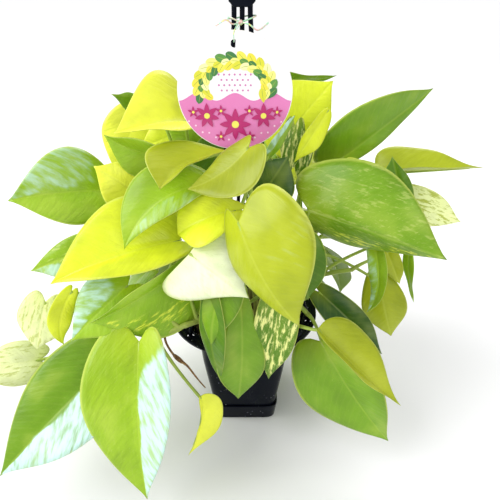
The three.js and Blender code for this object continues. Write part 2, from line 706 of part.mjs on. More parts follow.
    leaves: [
      makeLeaf([53, -36, 225], [60, -46, 170], 40, [-4, 10], { fold: 5, bow: 4 }),
      makeLeaf([71, -35, 172], [134, -56, 113], 36, [8, 33],
        { fold: 21, bow: 7, lean: -0.08, back: 0.22, taper: 0.82 }),
      makeLeaf([72, -64, 136], [139, -100, 43], 88, [-25, 3],
        { fold: 22, bow: 6, lean: -0.08, back: 0.18 }),
    ],
  },
  {
    name: 'vine_green_right',
    colour: greenLeaf,
    root: [34, 2],
    stem: [[42, 2, 150], [56, -2, 185], [66, -6, 218]],
    leaves: [
      makeLeaf([57, -30, 254], [171, -66, 225], 92, [-19, -6],
        { fold: -26, bow: 8, sway: 6, lean: 0.1 }),
      makeLeaf([87.7, 9.7, 286.7], [161, 8.8, 349.5], 46, [-4, -8],
        { fold: 18, bow: 10, sway: 4, lean: 0.5, back: 0.37, taper: 0.8, twist: 21 }),
      makeLeaf([148.9, -6.1, 243.8], [130, -6.4, 295.1], 35, [-11, 3],
        { fold: 17, bow: 4, lean: 0.33, back: 0.33, taper: 0.82, twist: 3 }),
      makeLeaf([147, 10, 249], [208, 2, 227], 36, [-1, 17], { fold: 10, bow: 6 }),
    ],
  },
  {
    name: 'vine_green_trailing_right',
    colour: greenLeaf,
    root: [32, 18],
    stem: [[42, 12, 142], [64, 8, 158], [90, 2, 170], [110, -2, 176]],
    leaves: [
      makeLeaf([122, -18, 214], [122, -26, 141], 20, [-46, 4], { fold: 20, bow: 6, sway: 13 }),
      makeLeaf([164, 5, 195], [178, 0, 134], 14, [-63, -9], { fold: 10, bow: 3 }),
    ],
  },
  {
    name: 'vine_green_centre',
    colour: greenLeaf,
    root: [6, 16],
    stem: [[8, 16, 150], [12, 14, 190], [16, 12, 225]],
    leaves: [
      makeLeaf([17.1, -16.7, 262.7], [39.2, -8.7, 295.9], 46, [-6, 17], { fold: 10, bow: 4 }),
      makeLeaf([16.1, -13.7, 279.8], [-2.1, -9.7, 305.9], 32, [5, 12], { fold: 5, bow: 3 }),
    ],
  },
];

// ---------------------------------------------------------------- the vines that the front hides
// They fan out over the back, one leaf of each tier on each vine, with small seeded differences.
const BACK_ROOTS = [[22, 33], [8, 36], [-6, 36], [-20, 33], [-33, 24]];
const BACK_FIRST_ANGLE = 30;
const BACK_STEP = 26.5;
const BACK_SEED = 7;
// The vine at the back whose longest stalk carries the leaf above the others.
const HIGH_LEAF_VINE = 2;
// Tiers from the top: base radius and height, tip radius and height, width, and upward facing.
const TIERS = [
  { base: [60, 272], tip: [114, 290], width: 54, lift: 66 },
  { base: [74, 258], tip: [162, 228], width: 51, lift: 62 },
  { base: [98, 212], tip: [172, 148], width: 61, lift: 36 },
  { base: [104, 166], tip: [150, 82], width: 58, lift: 22 },
  { base: [94, 128], tip: [120, 44], width: 50, lift: 12 },
];

let seed = BACK_SEED;
function draw(low, high) {
  seed = (seed * 16807) % 2147483647;
  return low + ((high - low) * seed) / 2147483647;
}

function polar(radius, degrees, z) {
  const radians = THREE.MathUtils.degToRad(degrees);
  return [radius * Math.cos(radians), radius * Math.sin(radians), z];
}

BACK_ROOTS.forEach((root, j) => {
  const centre = BACK_FIRST_ANGLE + BACK_STEP * j;
  const leaves = TIERS.map((tier, i) => {
    const angle = centre + (i % 2 === 0 ? -7 : 7) + draw(-3, 3);
    const rise = draw(-3, 3) - (j % 2 === 1 ? [18, 10, 10, 9, 0][i] : 0);
    const base = polar(tier.base[0] + draw(-3, 3), angle, tier.base[1] + rise);
    const tip = polar(tier.tip[0] + draw(-6, 6), angle + draw(-3, 3), tier.tip[1] + rise);
    const width = tier.width * draw(0.9, 1.05);
    const faces = [angle + 90 + draw(-12, 12), tier.lift + draw(-6, 6)];
    const leaf = makeLeaf(base, tip, width, faces, { fold: 12, bow: 9, back: 0.22, phase: draw(0, 1) });
    leaf.hidden = true;
    leaf.at = [0.98, 0.9, 0.8, 0.7, 0.6][i];
    return leaf;
  });
  if (j % 4 === 0) {
    leaves.shift();
  }
  if (j === HIGH_LEAF_VINE) {
    const shape = { fold: 5, bow: 4, at: 0.94 };
    leaves.push(makeLeaf([23, 60, 349], [84, 42, 354], 26, [-11, -51], shape));
  }
  VINES.push({
    name: `vine_back_${j + 1}`,
    colour: j % 2 === 0 ? greenLeaf : limeLeaf,
    root,
    stem: [[1.15 * root[0], 1.15 * root[1], 140], polar(58, centre, 174), polar(64, centre, 202)],
    leaves,
  });
});

// ---------------------------------------------------------------- dry aerial root
const DRY_ROOT_FOOT = [-36, -30];

function makeDryRoot() {
  const [x, y] = DRY_ROOT_FOOT;
  const path = smoothPath([
    [x, y, STEM_HOLE_FLOOR + FIT_GAP],
    [x, y, SOIL_TOP + 4],
    [-48, -32, 134],
    [-66, -46, 146],
    [-73, -63, 141],
    [-65, -71, 126],
    [-54, -74, 117],
    [-44, -75, 100],
    [-37, -75, 88],
  ]);
  const sheath = smoothPath([[-65, -71, 126], [-60, -72.6, 121.5], [-54, -74, 116.5]]);
  const pieces = [rod(path, ROOT_RADIUS, 5, 18), rod(sheath, 2.4, 5, 2)];
  return geometryOf(join(pieces));
}

// ---------------------------------------------------------------- assembly
const group = new THREE.Group();

function addPart(name, geometry, material) {
  const mesh = new THREE.Mesh(geometry, material);
  mesh.name = name;
  group.add(mesh);
}

addPart('drip_tray', makeTray(), trayPlastic);
addPart('pot', makePot(), blackPlastic);
addPart('soil', makeSoil(VINES.map((vine) => vine.root), DRY_ROOT_FOOT), soilMaterial);
addPart('hanger', makeHanger(), blackPlastic);
addPart('label_card', makeLabel(), cardMaterial);
addPart('label_tie', makeTie(), tieMaterial);
addPart('dry_root', makeDryRoot(), dryMaterial);
for (const vine of VINES) {
  addPart(vine.name, makeVine(vine), vine.colour);
}

export default group;
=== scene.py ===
import json
import math
from dataclasses import dataclass

import bmesh
import bpy
import numpy as np
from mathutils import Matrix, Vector, noise

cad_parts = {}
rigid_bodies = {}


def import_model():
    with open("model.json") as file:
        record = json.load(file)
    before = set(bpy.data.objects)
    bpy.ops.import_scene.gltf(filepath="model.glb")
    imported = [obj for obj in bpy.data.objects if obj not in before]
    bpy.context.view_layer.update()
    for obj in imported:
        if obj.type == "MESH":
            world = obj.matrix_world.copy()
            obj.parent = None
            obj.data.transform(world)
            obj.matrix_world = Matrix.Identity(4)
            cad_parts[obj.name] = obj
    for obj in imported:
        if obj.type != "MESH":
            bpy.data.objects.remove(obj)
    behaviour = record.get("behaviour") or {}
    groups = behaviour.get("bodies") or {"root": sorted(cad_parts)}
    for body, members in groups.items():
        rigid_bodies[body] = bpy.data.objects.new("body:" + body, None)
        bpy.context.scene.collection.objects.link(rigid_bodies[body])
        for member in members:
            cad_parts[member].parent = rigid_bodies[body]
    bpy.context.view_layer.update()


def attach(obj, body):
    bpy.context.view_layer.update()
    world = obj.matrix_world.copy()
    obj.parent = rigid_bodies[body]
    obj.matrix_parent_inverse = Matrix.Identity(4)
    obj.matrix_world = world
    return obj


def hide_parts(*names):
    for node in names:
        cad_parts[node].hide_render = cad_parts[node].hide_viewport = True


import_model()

bl_info = {
    "name": "Hanging Pothos",
    "version": (1, 0, 0),
    "blender": (4, 5, 0),
    "location": "3D View > Sidebar > Pothos",
    "description": "Builds a potted lime and green pothos with its hanger, label and drip tray",
    "category": "Add Mesh",
}

MM = 0.001


def srgb(red, green, blue):
    """Linear colour of a screen colour given from 0 to 255."""
    def linear(level):
        share = level / 255
        return share / 12.92 if share <= 0.04045 else ((share + 0.055) / 1.055) ** 2.4
    return linear(red), linear(green), linear(blue)


# ---------------------------------------------------------------- sizes and colours
def colour_prop(name, description, colour):
    return bpy.props.FloatVectorProperty(
        name=name, description=description, default=colour, subtype="COLOR", size=3, min=0, max=1)


def length_prop(name, description, millimetres):
    return bpy.props.FloatProperty(
        name=name, description=description, default=millimetres * MM, unit="LENGTH", min=0)


def share_prop(name, description, share):
    return bpy.props.FloatProperty(
        name=name, description=description, default=share, min=0, max=1, subtype="FACTOR")


class PotSettings(bpy.types.PropertyGroup):
    """Sizes and colours of the black plastic pot and its drip tray."""
    rim_width: length_prop("Rim width", "Width of the flange at the top", 150)
    rim_top: length_prop("Rim height", "Height of the rim above the table", 129)
    flange: length_prop("Flange", "Width of the flat flange", 13.5)
    body_top: length_prop("Body height", "Height where the square body starts to flare", 100)
    body_width: length_prop("Body width", "Width of the square body at its top", 91)
    foot_width: length_prop("Foot width", "Width of the square body at its foot", 65.6)
    wall: length_prop("Wall", "Thickness of the pot's wall", 1.8)
    squareness: bpy.props.FloatProperty(
        name="Squareness", description="Sharpness of the corners of the foot and the tray",
        default=8, min=2)
    tray_height: length_prop("Tray height", "Height of the drip tray", 20)
    tray_width: length_prop("Tray width", "Width of the drip tray at its top", 72.8)
    plastic: colour_prop("Plastic", "Colour of the pot, tray and hanger", srgb(7, 10, 20))
    plastic_roughness: share_prop("Plastic roughness", "Roughness of the moulded plastic", 0.24)
    specks: share_prop("Specks", "Amount of dried water spots and dust", 0.55)


class SoilSettings(bpy.types.PropertyGroup):
    """The compost and its crumbs."""
    top: length_prop("Soil height", "Height of the soil at the pot's wall", 116)
    crumbs: bpy.props.FloatProperty(
        name="Crumb density", description="Crumbs on a square metre", default=52000, min=0)
    crumb_size: length_prop("Crumb size", "Mean width of a crumb", 2.6)
    seed: bpy.props.IntProperty(name="Seed", description="Seed of the crumbs", default=11)
    dark: colour_prop("Dark soil", "Colour of the moist compost", srgb(46, 33, 25))
    light: colour_prop("Light soil", "Colour of bark and dry crumbs", srgb(112, 82, 56))


class HangerSettings(bpy.types.PropertyGroup):
    """The three strands with their block and hook."""
    strand_radius: length_prop("Strand radius", "Radius of a plastic strand", 1.9)
    hook_radius: length_prop("Hook radius", "Radius of the hook's bend", 15)
    hook_rod: length_prop("Hook rod", "Radius of the hook's rod", 2.9)
    strand_sides: bpy.props.IntProperty(
        name="Strand sides", description="Faces around a strand", default=12, min=3)


class LabelSettings(bpy.types.PropertyGroup):
    """The round card with a printed pattern, and the ribbon that ties it on."""
    diameter: length_prop("Label diameter", "Diameter of the round card", 92)
    thickness: length_prop("Label thickness", "Thickness of the card", 1)
    paper: colour_prop("Paper", "Colour of the unprinted card", srgb(250, 249, 250))
    pink: colour_prop("Pink field", "Colour of the card's lower part", srgb(228, 128, 188))
    magenta: colour_prop("Magenta ink", "Colour of the large pattern", srgb(186, 20, 108))
    edge: colour_prop("Cream edge", "Colour of the card's border", srgb(246, 242, 238))
    ribbon: colour_prop("Ribbon", "Main colour of the tie", srgb(176, 232, 196))
    ribbon_sheen: colour_prop("Ribbon sheen", "Second colour of the tie", srgb(246, 196, 190))


class FoliageSettings(bpy.types.PropertyGroup):
    """Colours and finish of the leaves, stalks and stems."""
    # Sunlit, bright, olive, moss and dark are lit and shaded copies of the lime and green tones:
    # light and shade painted into a leaf's colour.
    sunlit: colour_prop("Sunlit", "Colour of a bright leaf against the light", srgb(226, 238, 44))
    # Painted light: bright is lime painted as lit from behind. The same colour paints the yellow
    # band streaks, which are the leaf's own.
    bright: colour_prop("Bright", "Colour of the brightest young leaf", srgb(248, 253, 78))
    lime: colour_prop("Lime", "Colour of a lime leaf", srgb(192, 204, 30))
    olive: colour_prop("Olive", "Colour of a lime leaf in the shade", srgb(166, 178, 26))
    moss: colour_prop("Moss", "Colour of a lime leaf in deep shade", srgb(146, 158, 24))
    pale: colour_prop("Pale", "Colour of a pale, mottled leaf", srgb(242, 250, 178))
    white: colour_prop("White", "Colour of a leaf that is nearly white", srgb(240, 248, 214))
    fresh: colour_prop("Fresh green", "Colour of a young green leaf", srgb(138, 182, 28))
    green: colour_prop("Green", "Colour of a mid green leaf", srgb(108, 150, 18))
    deep: colour_prop("Deep green", "Colour of an old green leaf", srgb(82, 124, 16))
    dark: colour_prop("Dark green", "Colour of a leaf in deep shade", srgb(36, 76, 14))
    # Painted reflection: the sheen colour is painted on one half of a blade, standing in for a
    # reflection of the lights.
    sheen: colour_prop("Sheen", "Colour of the half blade that shines", srgb(196, 232, 222))
    cream: colour_prop("Cream fleck", "Colour of a marbled leaf's streaks", srgb(240, 240, 150))
    stalk: colour_prop("Stalk", "Colour of a leaf stalk", srgb(168, 190, 76))
    stem: colour_prop("Stem", "Colour of an old stem's foot", srgb(122, 108, 60))
    blade: length_prop("Blade thickness", "Thickness of a blade at its rib", 0.7)
    rows: bpy.props.IntProperty(
        name="Rows", description="Faces along a blade", default=30, min=6)
    columns: bpy.props.IntProperty(
        name="Columns", description="Faces across a blade", default=16, min=4)
    gloss: share_prop("Gloss", "Weight of the waxy coat", 0.32)
    # Painted glow: the leaf's colour is given off as light, standing in for light that shows
    # through a blade.
    glow: share_prop("Glow", "Light that shows through a leaf", 0.05)


class StageSettings(bpy.types.PropertyGroup):
    """Floor, lights and camera."""
    floor: colour_prop("Floor", "Colour of the floor", (0.93, 0.93, 0.94))
    window: bpy.props.FloatProperty(
        name="Window light", description="Strength of the broad light from the left", default=2.6,
        min=0)
    back_power: bpy.props.FloatProperty(
        name="Back light", description="Power of the light from above and behind", default=12,
        unit="POWER")
    front_power: bpy.props.FloatProperty(
        name="Front light", description="Power of the light from the front", default=7,
        unit="POWER")
    sky: bpy.props.FloatProperty(
        name="Sky", description="Strength of the even light all round", default=0.62, min=0)
    focal_length: bpy.props.FloatProperty(
        name="Focal length", description="Focal length on a 36 mm wide sensor, in millimetres",
        default=34.56)
    camera_pitch: bpy.props.FloatProperty(
        name="Camera pitch", description="Angle by which the camera looks down",
        default=math.radians(29.5), subtype="ANGLE")


SETTINGS = {
    "pothos_pot": PotSettings,
    "pothos_soil": SoilSettings,
    "pothos_hanger": HangerSettings,
    "pothos_label": LabelSettings,
    "pothos_foliage": FoliageSettings,
    "pothos_stage": StageSettings,
}


def settings(name):
    return getattr(bpy.context.scene, "pothos_" + name)


# ---------------------------------------------------------------- shader maths
class Value:
    """A shader socket that can be added, multiplied and compared in an expression."""

    def __init__(self, finish, socket):
        self.finish = finish
        self.socket = socket

    def maths(self, operation, *others):
        return self.finish.node(
            "ShaderNodeMath", {"operation": operation}, dict(enumerate((self, *others))))

    def __add__(self, other):
        return self.maths("ADD", other)

    __radd__ = __add__

    def __mul__(self, other):
        return self.maths("MULTIPLY", other)

    __rmul__ = __mul__

    def __sub__(self, other):
        return self.maths("SUBTRACT", other)

    def __rsub__(self, other):
        return (self * -1) + other

    def __pow__(self, other):
        return self.maths("POWER", other)

    def __abs__(self):
        return self.maths("ABSOLUTE")

    def cosine(self):
        return self.maths("COSINE")

    def clamped(self):
        return self.finish.node("ShaderNodeClamp", {}, {"Value": self})

    def step(self, start, end):
        """0 up to start, 1 from end on, and smooth between them."""
        return self.finish.node(
            "ShaderNodeMapRange", {"interpolation_type": "SMOOTHSTEP"},
            {"Value": self, "From Min": start, "From Max": end})


class Finish:
    """A material whose nodes are added by expressions."""

    def __init__(self, name):
        self.material = bpy.data.materials.new(name)
        self.material.use_nodes = True
        self.nodes = self.material.node_tree.nodes
        self.links = self.material.node_tree.links
        self.surface = self.nodes["Principled BSDF"]

    def node(self, kind, options, inputs, output=0):
        """A node of this kind: its settings first, then the values or links of its sockets."""
        made = self.nodes.new(kind)
        for key, value in options.items():
            setattr(made, key, value)
        for key, value in inputs.items():
            self.feed(made.inputs[key], value)
        return Value(self, made.outputs[output])

    def feed(self, socket, value):
        if isinstance(value, Value):
            self.links.new(value.socket, socket)
        elif hasattr(socket.default_value, "__len__") and len(socket.default_value) == 4:
            socket.default_value = (*tuple(value)[:3], 1)
        else:
            socket.default_value = value

    def mix(self, factor, first, second):
        """Mix of two colours, by the Mix node's colour sockets."""
        return self.node(
            "ShaderNodeMix", {"data_type": "RGBA"}, {0: factor, 6: first, 7: second}, 2)

    def object_place(self, scale=(1, 1, 1)):
        place = self.node("ShaderNodeTexCoord", {}, {}, "Object")
        return self.node("ShaderNodeMapping", {}, {"Vector": place, "Scale": scale})

    def attribute(self, name, output="Fac"):
        return self.node("ShaderNodeAttribute", {"attribute_name": name}, {}, output)

    def parts(self, vector):
        split = self.node("ShaderNodeSeparateXYZ", {}, {"Vector": vector})
        return [Value(self, socket) for socket in split.socket.node.outputs]

    def vector(self, x, y, z):
        return self.node("ShaderNodeCombineXYZ", {}, {"X": x, "Y": y, "Z": z})

    def grain(self, place, scale, detail=3.0, roughness=0.55):
        return self.node(
            "ShaderNodeTexNoise", {},
            {"Vector": place, "Scale": scale, "Detail": detail, "Roughness": roughness}, "Fac")

    def spots(self, place, scale):
        """Distance to the nearest of many scattered points."""
        return self.node(
            "ShaderNodeTexVoronoi", {}, {"Vector": place, "Scale": scale}, "Distance")

    def relief(self, height, distance):
        return self.node("ShaderNodeBump", {}, {"Height": height, "Distance": distance}, "Normal")

    def set(self, **inputs):
        for key, value in inputs.items():
            self.feed(self.surface.inputs[key.replace("_", " ")], value)
        return self.material


DUST = srgb(92, 96, 106)
WATER_SPOT = srgb(176, 182, 190)
PLASTIC_TINT = (0.7, 0.84, 1.0)
BARK_FIBRE = srgb(150, 118, 84)


def black_plastic(name, specks):
    """Glossy moulded plastic with dried water spots and a little dust."""
    pot = settings("pot")
    finish = Finish(name)
    place = finish.object_place()
    dust = finish.grain(place, 38, 4)
    fine = finish.grain(place, 900, 2)
    drops = 1 - finish.spots(place, 210).step(0.10, 0.2)
    sparse = finish.grain(place, 55, 2).step(0.5, 0.64)
    marks = drops * sparse * specks
    film = dust.step(0.48, 0.8) * 0.1 * specks
    base = finish.mix(film, pot.plastic, DUST)
    base = finish.mix(marks * 0.75, base, WATER_SPOT)
    rough = pot.plastic_roughness + film * 0.6 + marks * 0.35
    normal = finish.relief(fine * 0.5 + finish.grain(place, 130, 3), 0.00012)
    return finish.set(
        Base_Color=base, Roughness=rough, Normal=normal, Specular_IOR_Level=0.1,
        Specular_Tint=PLASTIC_TINT)


def compost():
    """Moist compost with bark crumbs and paler fibres."""
    soil = settings("soil")
    finish = Finish("compost")
    place = finish.object_place()
    clods = finish.grain(place, 260, 5, 0.65)
    fibres = finish.grain(finish.object_place((1, 4, 1)), 420, 3)
    base = finish.mix(clods.step(0.5, 0.72), soil.dark, soil.light)
    base = finish.mix(fibres.step(0.62, 0.72) * 0.6, base, BARK_FIBRE)
    normal = finish.relief(clods + fibres * 0.4, 0.0012)
    return finish.set(Base_Color=base, Roughness=0.92, Normal=normal, Specular_IOR_Level=0.25)


# Side veins of a blade: their spacing in millimetres, and how they slant and curve to the tip.
VEIN_SPACING = 7.4
VEIN_SLANT = 0.55
VEIN_CURVE = 0.012
SEED_SPREAD = 37
SHADE_TINT = (0.02, 0.07, 0.0)
LIGHT_TINT = (0.78, 0.86, 0.16)
MARGIN_TINT = srgb(226, 236, 120)
UNDERSIDE_TINT = srgb(196, 214, 128)


def leaf_wax():
    """Waxy leaf: its tone, flecks, sheen and band are painted, and its veins follow the blade."""
    foliage = settings("foliage")
    finish = Finish("leaf_wax")
    tone = finish.attribute("tone", "Color")
    fleck = finish.attribute("fleck", "Color")
    fleck_share = finish.attribute("fleck", "Alpha")
    across, along, share = finish.parts(finish.attribute("lay", "Vector"))
    shine = finish.attribute("shine")
    band = finish.attribute("band")
    under = finish.attribute("under")
    place = finish.object_place()

    side = abs(across)
    vein_run = along - side * VEIN_SLANT - side * side * VEIN_CURVE
    ripple = (vein_run * (2 * math.pi / VEIN_SPACING)).cosine() * 0.5 + 0.5
    veins = ripple ** 6 * side.step(0.5, 5)
    rib = 1 - side.step(0.3, 1.6)
    margin = abs(share).step(0.94, 0.99)

    seed = finish.attribute("leaf_seed") * SEED_SPREAD
    mottle = finish.grain(place, 42, 4)
    freckle = finish.grain(place, 330, 3)
    cloud = finish.grain(finish.vector(along * 0.024, across * 0.03, seed), 1, 2)
    puckers = finish.grain(finish.vector(vein_run * 0.15, across * 0.085, seed), 1, 3, 0.5)
    streaks = finish.grain(
        finish.vector(along * 0.075 - side * 0.05, across * 0.3, seed), 1, 5, 0.66)
    specks = finish.grain(finish.vector(vein_run * 1.3, across * 0.3, seed), 1, 2)

    deeper = finish.mix(0.45, tone, SHADE_TINT)
    lighter = finish.mix(0.4, tone, LIGHT_TINT)
    base = finish.mix(cloud.step(0.48, 0.7) * 0.35, tone, lighter)
    base = finish.mix((1 - cloud.step(0.3, 0.5)) * 0.4, base, deeper)
    base = finish.mix(mottle.step(0.42, 0.75) * 0.18, base, deeper)
    base = finish.mix(freckle.step(0.55, 0.7) * 0.08, base, deeper)
    streaked = (streaks + fleck_share * 0.07).step(0.55, 0.66) * fleck_share.step(0.1, 0.9) * 0.85
    speckled = specks.step(0.62, 0.72) * (fleck_share * 1.6).clamped() * 0.4
    base = finish.mix((streaked + speckled).clamped(), base, fleck)
    banded = (streaks + band * 0.12).step(0.58, 0.7) * band.step(0.2, 0.6)
    base = finish.mix(banded * 0.6, base, foliage.bright)
    base = finish.mix(veins * 0.05 + rib * 0.25, base, lighter)
    base = finish.mix(margin * 0.45, base, MARGIN_TINT)
    # Painted reflection: on the half that shine marks, the sheen colour is mixed into the base
    # colour in patches over the puckers.
    patch = (cloud * 0.6 + puckers * 0.6 + shine * 0.9 - 0.6).step(0.2, 0.6)
    gleam = patch * shine.step(0, 0.6) * (puckers.step(0.3, 0.6) * 0.7 + 0.3)
    base = finish.mix(gleam.clamped(), base, foliage.sheen)
    dull = finish.mix(0.35, base, UNDERSIDE_TINT)
    base = finish.mix(under, base, dull)

    height = puckers * 1.1 - veins * 0.07 - rib * 0.2 + freckle * 0.05 + mottle * 0.35
    normal = finish.relief(height * (1 - under * 1.6), 0.001)
    rough = 0.4 + under * 0.2 + mottle * 0.1
    # The emission is a painted glow in the leaf's own colour.
    return finish.set(
        Base_Color=base, Roughness=rough, Normal=normal, Specular_IOR_Level=0.2,
        Coat_Weight=foliage.gloss, Coat_Roughness=0.2, Emission_Color=base,
        Emission_Strength=foliage.glow)


STALK_BLOTCH = srgb(132, 160, 52)
DRY_SCALE = srgb(104, 74, 44)
BARK_BROWN = srgb(92, 58, 32)
BARK_TAN = srgb(176, 132, 82)
BARK_DARK = srgb(58, 36, 22)


def stalk_skin():
    """Smooth green stalk that turns brown and dry towards an old stem's foot."""
    foliage = settings("foliage")
    finish = Finish("stalk_skin")
    age = finish.attribute("age")
    place = finish.object_place()
    grooves = finish.grain(finish.object_place((1, 1, 0.15)), 420, 3)
    blotches = finish.grain(place, 90, 3)
    base = finish.mix(blotches.step(0.4, 0.7) * 0.3, foliage.stalk, STALK_BLOTCH)
    base = finish.mix((age * 1.15 + blotches * 0.3 - 0.2).clamped(), base, foliage.stem)
    base = finish.mix(age.step(0.72, 1.0) * blotches.step(0.45, 0.6) * 0.7, base, DRY_SCALE)
    normal = finish.relief(grooves, 0.0004)
    return finish.set(
        Base_Color=base, Roughness=0.42 + age * 0.3, Normal=normal, Coat_Weight=0.15,
        Coat_Roughness=0.3)


def dry_bark():
    """Brown, fibrous skin of the dry root."""
    finish = Finish("dry_bark")
    place = finish.object_place()
    lines = finish.grain(finish.object_place((1, 1, 0.3)), 700, 4, 0.7)
    patches = finish.grain(place, 110, 3)
    base = finish.mix(lines.step(0.35, 0.7), BARK_BROWN, BARK_TAN)
    base = finish.mix(patches.step(0.55, 0.75) * 0.6, base, BARK_DARK)
    return finish.set(Base_Color=base, Roughness=0.8, Normal=finish.relief(lines, 0.0005))


CARD_SHADE = srgb(236, 226, 232)
# Painted highlight: the glint colour is painted in small spots on the ribbon.
RIBBON_GLINT = srgb(250, 240, 120)


def printed_card():
    """Coated card: the printed colours are painted on its faces, under a satin varnish."""
    finish = Finish("printed_card")
    ink = finish.attribute("ink", "Color")
    place = finish.object_place()
    tooth = finish.grain(place, 1400, 2)
    cloud = finish.grain(place, 30, 2)
    base = finish.mix(cloud.step(0.4, 0.8) * 0.05, ink, CARD_SHADE)
    return finish.set(
        Base_Color=base, Roughness=0.36 + tooth * 0.08, Normal=finish.relief(tooth, 0.00004),
        Coat_Weight=0.2, Coat_Roughness=0.25)


def ribbon_foil():
    """Thin shimmering ribbon whose colour drifts between mint and peach."""
    label = settings("label")
    finish = Finish("ribbon_foil")
    place = finish.object_place()
    drift = finish.grain(place, 170, 2)
    glint = finish.grain(place, 260, 1).step(0.58, 0.66)
    base = finish.mix(drift.step(0.42, 0.62), label.ribbon, label.ribbon_sheen)
    # Painted glints: spots of glint colour mixed into the base colour stand in for highlights on
    # the foil.
    base = finish.mix(glint * 0.7, base, RIBBON_GLINT)
    return finish.set(
        Base_Color=base, Roughness=0.28, Metallic=0.35, Normal=finish.relief(drift, 0.0002))


# ---------------------------------------------------------------- curves and shared mesh code
CURVE_SAMPLES = 40


def catmull_rom(points, steps):
    """Smooth path through the points, with even steps along its length."""
    knots = [Vector(p) for p in points]
    before = [knots[0] * 2 - knots[1], *knots, knots[-1] * 2 - knots[-2]]
    dense = []
    for i in range(len(knots) - 1):
        p0, p1, p2, p3 = before[i:i + 4]
        d0, d1, d2 = (max((b - a).length, 1e-4) ** 0.5 for a, b in ((p0, p1), (p1, p2), (p2, p3)))
        m1 = ((p1 - p0) / d0 - (p2 - p0) / (d0 + d1) + (p2 - p1) / d1) * d1
        m2 = ((p2 - p1) / d1 - (p3 - p1) / (d1 + d2) + (p3 - p2) / d2) * d1
        for k in range(CURVE_SAMPLES):
            t = k / CURVE_SAMPLES
            dense.append(
                p1 * (2 * t ** 3 - 3 * t ** 2 + 1) + m1 * (t ** 3 - 2 * t ** 2 + t)
                + p2 * (3 * t ** 2 - 2 * t ** 3) + m2 * (t ** 3 - t ** 2))
    dense.append(knots[-1])
    return evenly(dense, steps)


def evenly(dense, steps):
    """Points at even steps along a dense path."""
    lengths = [0.0]
    for a, b in zip(dense, dense[1:]):
        lengths.append(lengths[-1] + (b - a).length)
    placed = []
    j = 0
    for i in range(steps + 1):
        wanted = lengths[-1] * i / steps
        while j < len(dense) - 2 and lengths[j + 1] < wanted:
            j += 1
        share = (wanted - lengths[j]) / max(lengths[j + 1] - lengths[j], 1e-9)
        placed.append(dense[j].lerp(dense[j + 1], min(max(share, 0), 1)))
    return placed


def bezier(a, b, c, d, steps):
    """Points of a cubic curve from a to d."""
    path = []
    for i in range(steps + 1):
        t = i / steps
        path.append(
            a * (1 - t) ** 3 + b * 3 * t * (1 - t) ** 2 + c * 3 * t * t * (1 - t) + d * t ** 3)
    return path


def smooth_object(name, mesh, material, smooth=True):
    """An object of this mesh, at the origin."""
    mesh.materials.append(material)
    mesh.polygons.foreach_set("use_smooth", [smooth] * len(mesh.polygons))
    obj = bpy.data.objects.new(name, mesh)
    bpy.context.scene.collection.objects.link(obj)
    return obj


def mesh_of(name, build):
    """A mesh made by build(bm)."""
    bm = bmesh.new()
    build(bm)
    bmesh.ops.recalc_face_normals(bm, faces=bm.faces)
    mesh = bpy.data.meshes.new(name)
    bm.to_mesh(mesh)
    bm.free()
    return mesh


def hand_over(obj, slot, *nodes):
    """The piece rides on the plant's one body and stands for these nodes."""
    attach(obj, "root")
    if nodes:
        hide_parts(*nodes)


def baked(obj):
    """A plain mesh object with obj's modifiers applied; obj itself is removed."""
    graph = bpy.context.evaluated_depsgraph_get()
    mesh = bpy.data.meshes.new_from_object(obj.evaluated_get(graph))
    name = obj.name
    bpy.data.objects.remove(obj)
    mesh.name = name
    made = bpy.data.objects.new(name, mesh)
    bpy.context.scene.collection.objects.link(made)
    return made


def joined(name, parts):
    """One object from several."""
    for other in bpy.context.view_layer.objects:
        other.select_set(False)
    for part in parts:
        part.select_set(True)
    bpy.context.view_layer.objects.active = parts[0]
    with bpy.context.temp_override(
            active_object=parts[0], selected_objects=parts, selected_editable_objects=parts):
        bpy.ops.object.join()
    parts[0].name = name
    parts[0].data.name = name
    return parts[0]


# ---------------------------------------------------------------- geometry node trees
class Tree:
    """A geometry node tree with named inputs."""

    def __init__(self, name, inputs):
        self.group = bpy.data.node_groups.new(name, "GeometryNodeTree")
        self.sockets = {}
        self.socket("Geometry", "INPUT", "NodeSocketGeometry")
        for label, kind in inputs.items():
            self.sockets[label] = self.socket(label, "INPUT", kind).identifier
        self.socket("Geometry", "OUTPUT", "NodeSocketGeometry")
        self.entry = self.group.nodes.new("NodeGroupInput")
        self.exit = self.group.nodes.new("NodeGroupOutput")

    def socket(self, label, way, kind):
        return self.group.interface.new_socket(label, in_out=way, socket_type=kind)

    def add(self, kind, inputs, **options):
        node = self.group.nodes.new(kind)
        for key, value in options.items():
            setattr(node, key, value)
        for key, value in inputs.items():
            if isinstance(value, bpy.types.NodeSocket):
                self.group.links.new(value, node.inputs[key])
            else:
                node.inputs[key].default_value = value
        return node

    def given(self, label):
        return self.entry.outputs[label]

    def finish(self, geometry):
        """Ends the tree in real geometry with its material set."""
        real = self.add("GeometryNodeRealizeInstances", {"Geometry": geometry})
        coloured = self.add(
            "GeometryNodeSetMaterial",
            {"Geometry": real.outputs[0], "Material": self.given("Material")})
        self.group.links.new(coloured.outputs[0], self.exit.inputs[0])

    def apply(self, obj, **values):
        """The plain mesh object that the tree makes of obj with these inputs."""
        modifier = obj.modifiers.new(self.group.name, "NODES")
        modifier.node_group = self.group
        for label, value in values.items():
            modifier[self.sockets[label]] = value
        return baked(obj)


